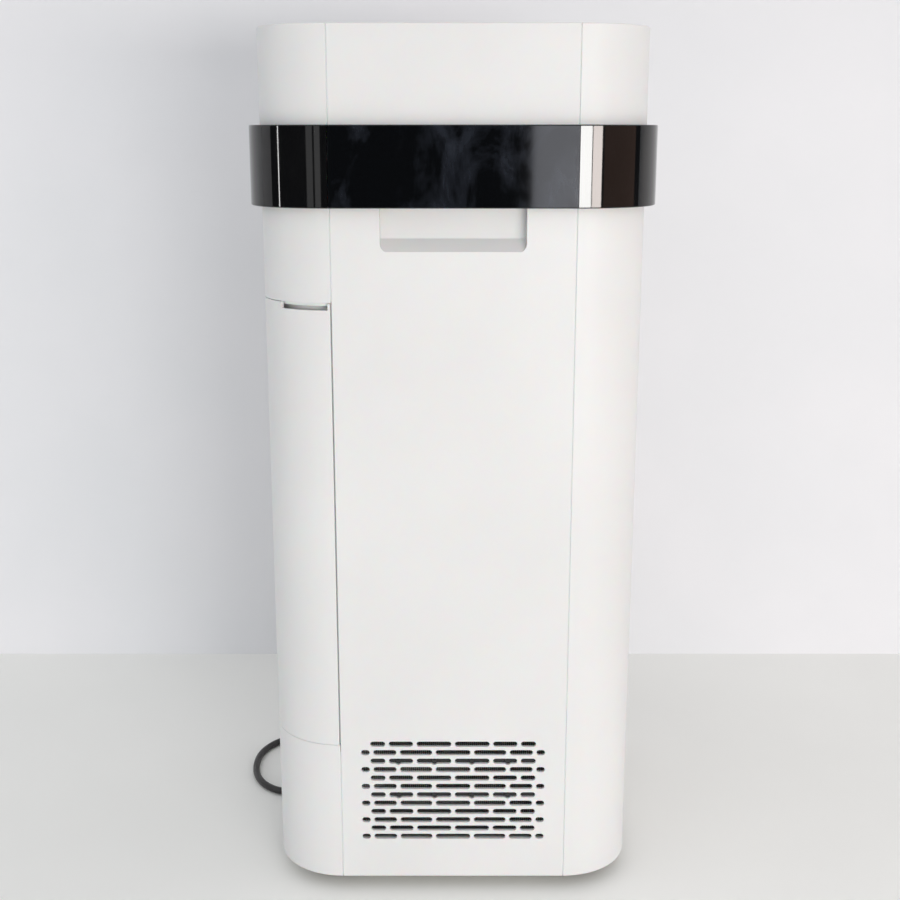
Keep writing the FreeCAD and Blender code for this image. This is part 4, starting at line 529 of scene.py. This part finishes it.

# %% [markdown]
# ## Dust seals
#
# A thin white bead lies in the seams beside the front panel, a little under the surface, so that air is
# not drawn in past the filters. It takes the white that is painted brighter to lift shade, so it makes
# these seams look shallow and pale; the seam beside the corner cover has none, and stays dark.

# %% Lay the seals
SEAL_WIDTH = 0.36 * MM
SEAL_SINK = 0.7 * MM
SEAL_DEPTH = 1.5 * MM
SEAL_SOFTEN = 0.08 * MM
SEAL_END = 2 * MM
HALF_SEAM = 0.2 * MM
panel_low, panel_high = corners("front_panel")
cover_low, cover_high = corners("corner_cover")
upper_top = corners("front_upper_panel")[1].z
seam_x = panel_high.x + HALF_SEAM
seal_front = panel_low.y + SEAL_SINK
seal_runs = [(1, panel_low.z, upper_top), (-1, panel_low.z, cover_low.z), (-1, cover_high.z, upper_top)]
bm = bmesh.new()
for side, z_low, z_high in seal_runs:
    low = Vector((side * seam_x - SEAL_WIDTH / 2, seal_front, z_low + SEAL_END))
    high = Vector((side * seam_x + SEAL_WIDTH / 2, seal_front + SEAL_DEPTH, z_high - SEAL_END))
    block(bm, low, high, SEAL_SOFTEN)
# The bead's white is painted brighter than the panels, a painted light in the seam.
finish_piece("seam_dust_seals", bm, painted_light_abs, "housing", "outer_white")
print("seams at", round(seam_x, 5))

# %% [markdown]
# ## Pre-filter net
#
# The washable pre-filter is an extruded net: two layers of straight strands that are welded where they
# cross, with the border pressed flat so that it can be glued into its frame. Straight rods in two layers
# are exactly that, so nothing needs to be bent.

# %% Build the net
NET_PITCH = 2.4 * MM
NET_RADIUS = 0.33 * MM
NET_BORDER = 3.0 * MM
NET_SOFTEN = 0.2 * MM
LAYER_STEP = 1.7 * NET_RADIUS
net_low, net_high = corners("prefilter_mesh")
bm = bmesh.new()
lower_z = net_low.z + NET_RADIUS
upper_z = lower_z + LAYER_STEP
for x in woven_lines(net_low.x, net_high.x, NET_PITCH):
    strand(bm, [Vector((x, net_low.y, lower_z)), Vector((x, net_high.y, lower_z))], NET_RADIUS, X, Z)
for y in woven_lines(net_low.y, net_high.y, NET_PITCH):
    strand(bm, [Vector((net_low.x, y, upper_z)), Vector((net_high.x, y, upper_z))], NET_RADIUS, Y, Z)
border_high = Vector((net_high.x, net_high.y, net_low.z + 3 * NET_RADIUS))
border(bm, net_low, border_high, NET_BORDER, NET_SOFTEN)
finish_piece("prefilter_net", bm, thread_nylon, "prefilter", "filter_mesh", "prefilter_mesh")

# %% [markdown]
# ## Carbon honeycomb
#
# The last filter is paper honeycomb loaded with carbon. Air goes straight through its cells, so they are
# real tubes here: each cell is one hexagon inside another, joined across the top and bottom, and a solid
# border closes the cut cells at the edge.

# %% One cell of the honeycomb
CELL_PITCH = 6.0 * MM
CELL_WALL = 0.7 * MM


def hexagon(bm, x, y, z, pitch):
    """Six points round a cell, pitch across its flats."""
    reach = pitch / math.sqrt(3)
    angles = [math.radians(30 + 60 * number) for number in range(6)]
    return [bm.verts.new((x + reach * math.cos(a), y + reach * math.sin(a), z)) for a in angles]


def cell(bm, x, y, z_low, z_high):
    """One open cell with a wall of half the neighbours' shared thickness."""
    outer_low = hexagon(bm, x, y, z_low, CELL_PITCH)
    outer_high = hexagon(bm, x, y, z_high, CELL_PITCH)
    inner_low = hexagon(bm, x, y, z_low, CELL_PITCH - CELL_WALL)
    inner_high = hexagon(bm, x, y, z_high, CELL_PITCH - CELL_WALL)
    for a in range(6):
        b = (a + 1) % 6
        bm.faces.new((outer_high[a], outer_high[b], inner_high[b], inner_high[a]))
        bm.faces.new((inner_low[a], inner_low[b], outer_low[b], outer_low[a]))
        bm.faces.new((inner_high[a], inner_high[b], inner_low[b], inner_low[a]))


print("cells", CELL_PITCH, "apart")

# %% Build the honeycomb
COMB_BORDER = 7.5 * MM
COMB_SOFTEN = 0.5 * MM
CELL_INSET = 0.5 * MM
WELD_GAP = 0.01 * MM
comb_low, comb_high = corners("carbon_block")
bm = bmesh.new()
row_step = CELL_PITCH * math.sqrt(3) / 2
row_count = int((comb_high.y - comb_low.y - 2 * COMB_BORDER + CELL_PITCH) / row_step)
middle_y = (comb_low.y + comb_high.y) / 2
room_x = comb_high.x - COMB_BORDER + CELL_PITCH / 2
reach = int(room_x / CELL_PITCH) + 1
for row in range(row_count):
    y = middle_y + (row - (row_count - 1) / 2) * row_step
    shift = CELL_PITCH / 2 if row % 2 else 0.0
    for number in range(-reach, reach + 1):
        x = number * CELL_PITCH + shift
        if abs(x) <= room_x:
            cell(bm, x, y, comb_low.z + CELL_INSET, comb_high.z - CELL_INSET)
bmesh.ops.remove_doubles(bm, verts=bm.verts, dist=WELD_GAP)
border(bm, comb_low, comb_high, COMB_BORDER, COMB_SOFTEN)
finish_piece("carbon_honeycomb_block", bm, carbon_paper, "carbon_filter", "carbon_honeycomb", "carbon_block")

# %% [markdown]
# ## The mains lead
#
# A lead is one length of something flexible, so it is one smooth curve with a round bevel. It leaves the
# strain relief under the base, drops to the floor, swings out to the left and back behind the tower, and
# the rest is wound into a neat coil of two layers: the lower one winds inwards, the upper one outwards.
# The route, the tail and the coil are in millimetres.

# %% Route of the lead
LEAD_DIAMETER = 7 * MM
ROUTE = [
    (-110.0, 17.0, 21.0),
    (-130.0, 17.0, 21.0),
    (-150.0, 18.5, 10.5),
    (-172.0, 21.5, 3.8),
    (-193.0, 34.0, 3.6),
    (-206.5, 56.0, 3.6),
    (-211.5, 84.0, 3.6),
    (-209.5, 112.0, 3.6),
    (-197.0, 136.0, 3.6),
    (-174.0, 152.0, 3.6),
    (-143.0, 160.5, 3.6),
    (-108.0, 163.5, 3.7),
    (-75.0, 164.8, 4.2),
    (-46.0, 163.6, 4.7),
]
TAIL = [
    (-27.6, 165.6, 11.9),
    (-3.0, 171.5, 8.6),
    (22.0, 176.0, 3.8),
    (47.0, 178.0, 5.2),
    (71.0, 180.0, 9.4),
]
COIL_MIDDLE = (-40.0, 212.0)
TURN_RADII = [48.0, 41.0, 34.0, 34.0, 41.0, 48.0]
TURN_HEIGHTS = [4.7, 4.7, 4.7, 11.8, 11.8, 11.8]
POINTS_PER_TURN = 16
STEP_SHARE = 0.25


def coil_points():
    """Points of the coil's turns; in the last quarter of each the lead steps over to the next."""
    points = []
    count = len(TURN_RADII) * POINTS_PER_TURN
    for step in range(1, count):
        turn = step / POINTS_PER_TURN
        here = min(int(turn), len(TURN_RADII) - 1)
        after = min(here + 1, len(TURN_RADII) - 1)
        share = max(0.0, (turn - here - (1 - STEP_SHARE)) / STEP_SHARE)
        radius = TURN_RADII[here] + (TURN_RADII[after] - TURN_RADII[here]) * share
        height = TURN_HEIGHTS[here] + (TURN_HEIGHTS[after] - TURN_HEIGHTS[here]) * share
        angle = math.radians(-90 + 360 * turn)
        x = COIL_MIDDLE[0] + radius * math.cos(angle)
        y = COIL_MIDDLE[1] + radius * math.sin(angle)
        points.append((x, y, height))
    return points


lead_points = ROUTE + coil_points() + TAIL
print("lead has", len(lead_points), "control points")


# %% Build the lead
def tube_curve(name, points_mm, diameter, material):
    """A round tube along one smooth open NURBS spline."""
    data = bpy.data.curves.new(name, "CURVE")
    data.dimensions = "3D"
    data.bevel_depth = diameter / 2
    data.bevel_resolution = 6
    data.resolution_u = 8
    data.use_fill_caps = True
    spline = data.splines.new("NURBS")
    spline.points.add(len(points_mm) - 1)
    for point, (x, y, z) in zip(spline.points, points_mm):
        point.co = (x * MM, y * MM, z * MM, 1.0)
    spline.order_u = 3
    spline.use_endpoint_u = True
    data.materials.append(material)
    obj = bpy.data.objects.new(name, data)
    bpy.context.scene.collection.objects.link(obj)
    return obj


lead = tube_curve("mains_lead", lead_points, LEAD_DIAMETER, cord_pvc)
print("mains lead built")

# %% [markdown]
# ## Tie and plug
#
# The coil is held by a short hook-and-loop strap: one thin band bent round the bundle, its end lapping
# over the start. The plug is one soft moulding over two blades, so its sections change smoothly from the
# round lead to a flattened grip. It is drawn as a stack of rounded sections, and the rings cut into its
# neck are what lets it bend without kinking.

# %% Build the tie
STRAP_THICK = 0.8 * MM
STRAP_BEND = 4.6 * MM
LAP_SHARE = 0.42
LAP_INSET = 0.3 * MM


def strap_path(low, high, bend, steps=7):
    """Points round a rounded rectangle in the YZ plane, from the middle of its top."""
    points = [(0.5 * (low.y + high.y), high.z)]
    right, left = high.y - bend, low.y + bend
    top, bottom = high.z - bend, low.z + bend
    for quarter, (y, z) in enumerate(((right, top), (right, bottom), (left, bottom), (left, top))):
        for step in range(steps + 1):
            angle = math.radians(90 - 90 * quarter - 90 * step / steps)
            points.append((y + bend * math.cos(angle), z + bend * math.sin(angle)))
    points.append(points[0])
    return points


def band_along(bm, points, x_low, x_high, thick, lift=0.0):
    """A flat band whose outer face lies this far above points in the YZ plane."""
    sections = []
    count = len(points)
    for number, (y, z) in enumerate(points):
        before = points[max(0, number - 1)]
        after = points[min(count - 1, number + 1)]
        along = Vector((0, after[0] - before[0], after[1] - before[1])).normalized()
        outward = Vector((0, -along.z, along.y))
        outer = Vector((0, y, z)) + outward * lift
        inner = outer - outward * thick
        edges = ((outer, x_low), (outer, x_high), (inner, x_high), (inner, x_low))
        sections.append([bm.verts.new(point + X * x) for point, x in edges])
    skin(bm, sections)


tie_low, tie_high = corners("cord_tie")
loop = strap_path(tie_low, tie_high, STRAP_BEND)
lap = loop[:int(len(loop) * LAP_SHARE)]
bm = bmesh.new()
band_along(bm, loop, tie_low.x, tie_high.x, STRAP_THICK)
band_along(bm, lap, tie_low.x + LAP_INSET, tie_high.x - LAP_INSET, STRAP_THICK, lift=STRAP_THICK)
tie = finish_piece("hook_and_loop_tie", bm, tie_strap, "housing", "tie_black", "cord_tie")

# %% The plug's sections
# Each row is the distance past the lead's end, the half width and the half height in millimetres, and how
# square the section is.
PLUG_HEADING = math.radians(5.0)
PLUG_SECTIONS = [
    (-2.0, 4.3, 4.3, 2.0),
    (18.5, 6.3, 6.2, 2.0),
    (21.0, 7.2, 6.6, 2.1),
    (25.0, 9.9, 7.9, 2.6),
    (30.0, 11.8, 8.9, 3.2),
    (36.0, 11.6, 8.9, 3.4),
    (40.0, 11.3, 8.7, 3.6),
    (41.3, 11.2, 8.6, 3.6),
    (42.0, 10.4, 7.9, 3.6),
]
NECK_RINGS = 4
RING_DEPTH = 0.9
# One ring of the neck: how far along from its middle, and how much of the depth is cut there.
RING_CUT = ((-1.3, 0.0), (-1.0, 1.0), (0.1, 1.0), (0.4, 0.0))


def oval(bm, origin, forward, sideways, distance, half_wide, half_high, squareness, count=40):
    """A rounded section: squareness 2 is an ellipse, more is boxier."""
    ring = []
    for number in range(count):
        angle = 2 * math.pi * number / count
        c = math.copysign(abs(math.cos(angle)) ** (2 / squareness), math.cos(angle))
        s = math.copysign(abs(math.sin(angle)) ** (2 / squareness), math.sin(angle))
        offset = forward * distance + sideways * (half_wide * c) + Z * (half_high * s)
        ring.append(bm.verts.new(origin + offset * MM))
    return ring


def neck_sections():
    """The plug's first stretch, a taper with shallow rings cut into it."""
    start_at, thin = PLUG_SECTIONS[0][:2]
    end_at, thick = PLUG_SECTIONS[1][:2]
    step = (end_at - start_at) / (NECK_RINGS + 1)
    sections = [PLUG_SECTIONS[0]]
    for number in range(1, NECK_RINGS + 1):
        for offset, cut in RING_CUT:
            distance = start_at + number * step + offset
            taper = thin + (thick - thin) * (distance - start_at) / (end_at - start_at)
            radius = taper - cut * RING_DEPTH
            sections.append((distance, radius, radius, 2.0))
    return sections


print("plug sections", len(neck_sections() + PLUG_SECTIONS[1:]))

# %% Build the plug
bm = bmesh.new()
lead_end = Vector(TAIL[-1]) * MM
forward = Vector((math.cos(PLUG_HEADING), math.sin(PLUG_HEADING), 0))
sideways = Vector((-math.sin(PLUG_HEADING), math.cos(PLUG_HEADING), 0))
sections = neck_sections() + PLUG_SECTIONS[1:]
skin(bm, [oval(bm, lead_end, forward, sideways, *section) for section in sections])
plug = finish_piece("mains_plug", bm, cord_pvc, "housing", "cord_black", "plug")
for face in plug.data.polygons:
    face.use_smooth = len(face.vertices) == 4

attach(lead, "housing")
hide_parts("mains_cord", "cord_coil", "cord_tail")

# %% [markdown]
# ## Floor, wall and camera
#
# The tower stands on a pale sheet a short way in front of a pale wall. Both are plain planes that are
# larger than the view, and a second, narrow wall on the left gives the gloss of the band a pale edge to
# mirror. The walls are seen from the front only: their backs are clear, so that the tower can be looked
# at from behind too. The camera looks slightly down from the height of the band.

# %% Stage
def sheet_mesh(name, points, material):
    """One flat four-cornered face that belongs to the stage."""
    mesh = bpy.data.meshes.new(name)
    mesh.from_pydata(points, [], [(0, 1, 2, 3)])
    mesh.materials.append(material)
    obj = bpy.data.objects.new(name, mesh)
    bpy.context.scene.collection.objects.link(obj)
    return obj


floor_sheet, floor_shader = start("pale_floor_sheet", Roughness=0.6)
tint(floor_sheet, floor_shader, 400, "F1F1ED", "F4F4F0")
wall_cloth, wall_shader = start("pale_wall_cloth", Roughness=0.9)
tint(wall_cloth, wall_shader, 250, "EFF0F2", "F3F3F5")


def one_way(material, shader):
    """Makes a sheet clear when it is looked at from its back."""
    side = add(material, "ShaderNodeNewGeometry")
    clear = add(material, "ShaderNodeBsdfTransparent")
    choice = add(material, "ShaderNodeMixShader", None,
                 {"Fac": side.outputs["Backfacing"], 1: shader.outputs["BSDF"], 2: clear.outputs["BSDF"]})
    join(material, choice.outputs["Shader"], material.node_tree.nodes["Material Output"], "Surface")


one_way(wall_cloth, wall_shader)
HALF_WIDTH = 4.0
FLOOR_FRONT = -4.0
WALL_Y = 0.40
WALL_TOP = 3.0
SIDE_WALL_X = -1.7
SIDE_WALL_FRONT = -0.15
sheet_mesh("floor", [(-HALF_WIDTH, FLOOR_FRONT, 0), (HALF_WIDTH, FLOOR_FRONT, 0),
                     (HALF_WIDTH, WALL_Y, 0), (-HALF_WIDTH, WALL_Y, 0)], floor_sheet)
sheet_mesh("wall", [(-HALF_WIDTH, WALL_Y, 0), (HALF_WIDTH, WALL_Y, 0),
                    (HALF_WIDTH, WALL_Y, WALL_TOP), (-HALF_WIDTH, WALL_Y, WALL_TOP)], wall_cloth)
sheet_mesh("side_wall", [(SIDE_WALL_X, SIDE_WALL_FRONT, 0), (SIDE_WALL_X, WALL_Y, 0),
                         (SIDE_WALL_X, WALL_Y, WALL_TOP), (SIDE_WALL_X, SIDE_WALL_FRONT, WALL_TOP)],
           wall_cloth)
print("stage ready")

# %% Camera
CAMERA_PLACE = (-0.0027, -1.2121, 0.6674)
CAMERA_DIP = 13.68
camera_data = bpy.data.cameras.new("camera")
camera_data.lens = 52.6
camera_data.sensor_width = 36.0
camera = bpy.data.objects.new("camera", camera_data)
camera.location = CAMERA_PLACE
camera.rotation_euler = (math.radians(90 - CAMERA_DIP), 0, 0)
bpy.context.scene.collection.objects.link(camera)
bpy.context.scene.camera = camera
print("camera", tuple(camera.location))

# %% [markdown]
# ## Light
#
# White plastic is shaped by broad light, black gloss by what it mirrors. A bright ceiling does the first:
# the world is pale overhead and dark grey at eye level, so that upright gloss stays black. A window of
# two panes on the front right is the key, and it draws the white streak in the band's right corner. The
# other lights are dim cards, there mostly for their reflections: a grey sheet, a dull window on the left,
# a slit of light between two doors, and a brown wall on the right.

# %% World
world = bpy.context.scene.world or bpy.data.worlds.new("studio")
bpy.context.scene.world = world
world.use_nodes = True
direction = add(world, "ShaderNodeTexCoord")
height = add(world, "ShaderNodeSeparateXYZ", None, {"Vector": direction.outputs["Generated"]})
ceiling = add(world, "ShaderNodeValToRGB", None, {"Fac": height.outputs["Z"]})
set_stops(ceiling, 0.06, "4C4E54", 0.24, "F2F4F8")
background = world.node_tree.nodes["Background"]
join(world, ceiling.outputs["Color"], background, "Color")
background.inputs["Strength"].default_value = 0.86
bpy.context.scene.view_settings.view_transform = "Standard"
print("world ready")


# %% Window and cards
def card_light(name, azimuth, distance, middle, width, height, radiance, tone="FFFFFF"):
    """An upright glowing rectangle round the tower; azimuth is degrees right of straight ahead."""
    data = bpy.data.lights.new(name, "AREA")
    data.shape = "RECTANGLE"
    data.size = width
    data.size_y = height
    data.energy = radiance * math.pi * width * height
    data.color = colour(tone)[:3]
    obj = bpy.data.objects.new(name, data)
    ray = math.radians(azimuth)
    obj.location = (distance * math.sin(ray), -distance * math.cos(ray), middle)
    obj.rotation_euler = (math.radians(90), 0, ray)
    bpy.context.scene.collection.objects.link(obj)
    return obj


card_light("window_near_pane", 15.4, 2.4, 0.58, 0.60, 0.28, 24.0, "FFFEFC")
card_light("window_far_pane", 29.6, 2.4, 0.58, 0.50, 0.28, 18.0, "FFF4EF")
card_light("grey_sheet", 6.2, 2.5, 0.60, 0.13, 0.44, 3.1, "F4F6FF")
card_light("brown_wall", 62.0, 2.2, 0.66, 1.9, 0.8, 0.42, "FFC9AE")
card_light("dull_window_near_pane", -19.5, 2.4, 0.66, 0.30, 0.5, 0.9)
card_light("dull_window_far_pane", -29.5, 2.4, 0.66, 0.34, 0.5, 0.8)
card_light("door_slit", -73.0, 2.0, 0.70, 0.05, 0.5, 15.0)
print("lights ready")
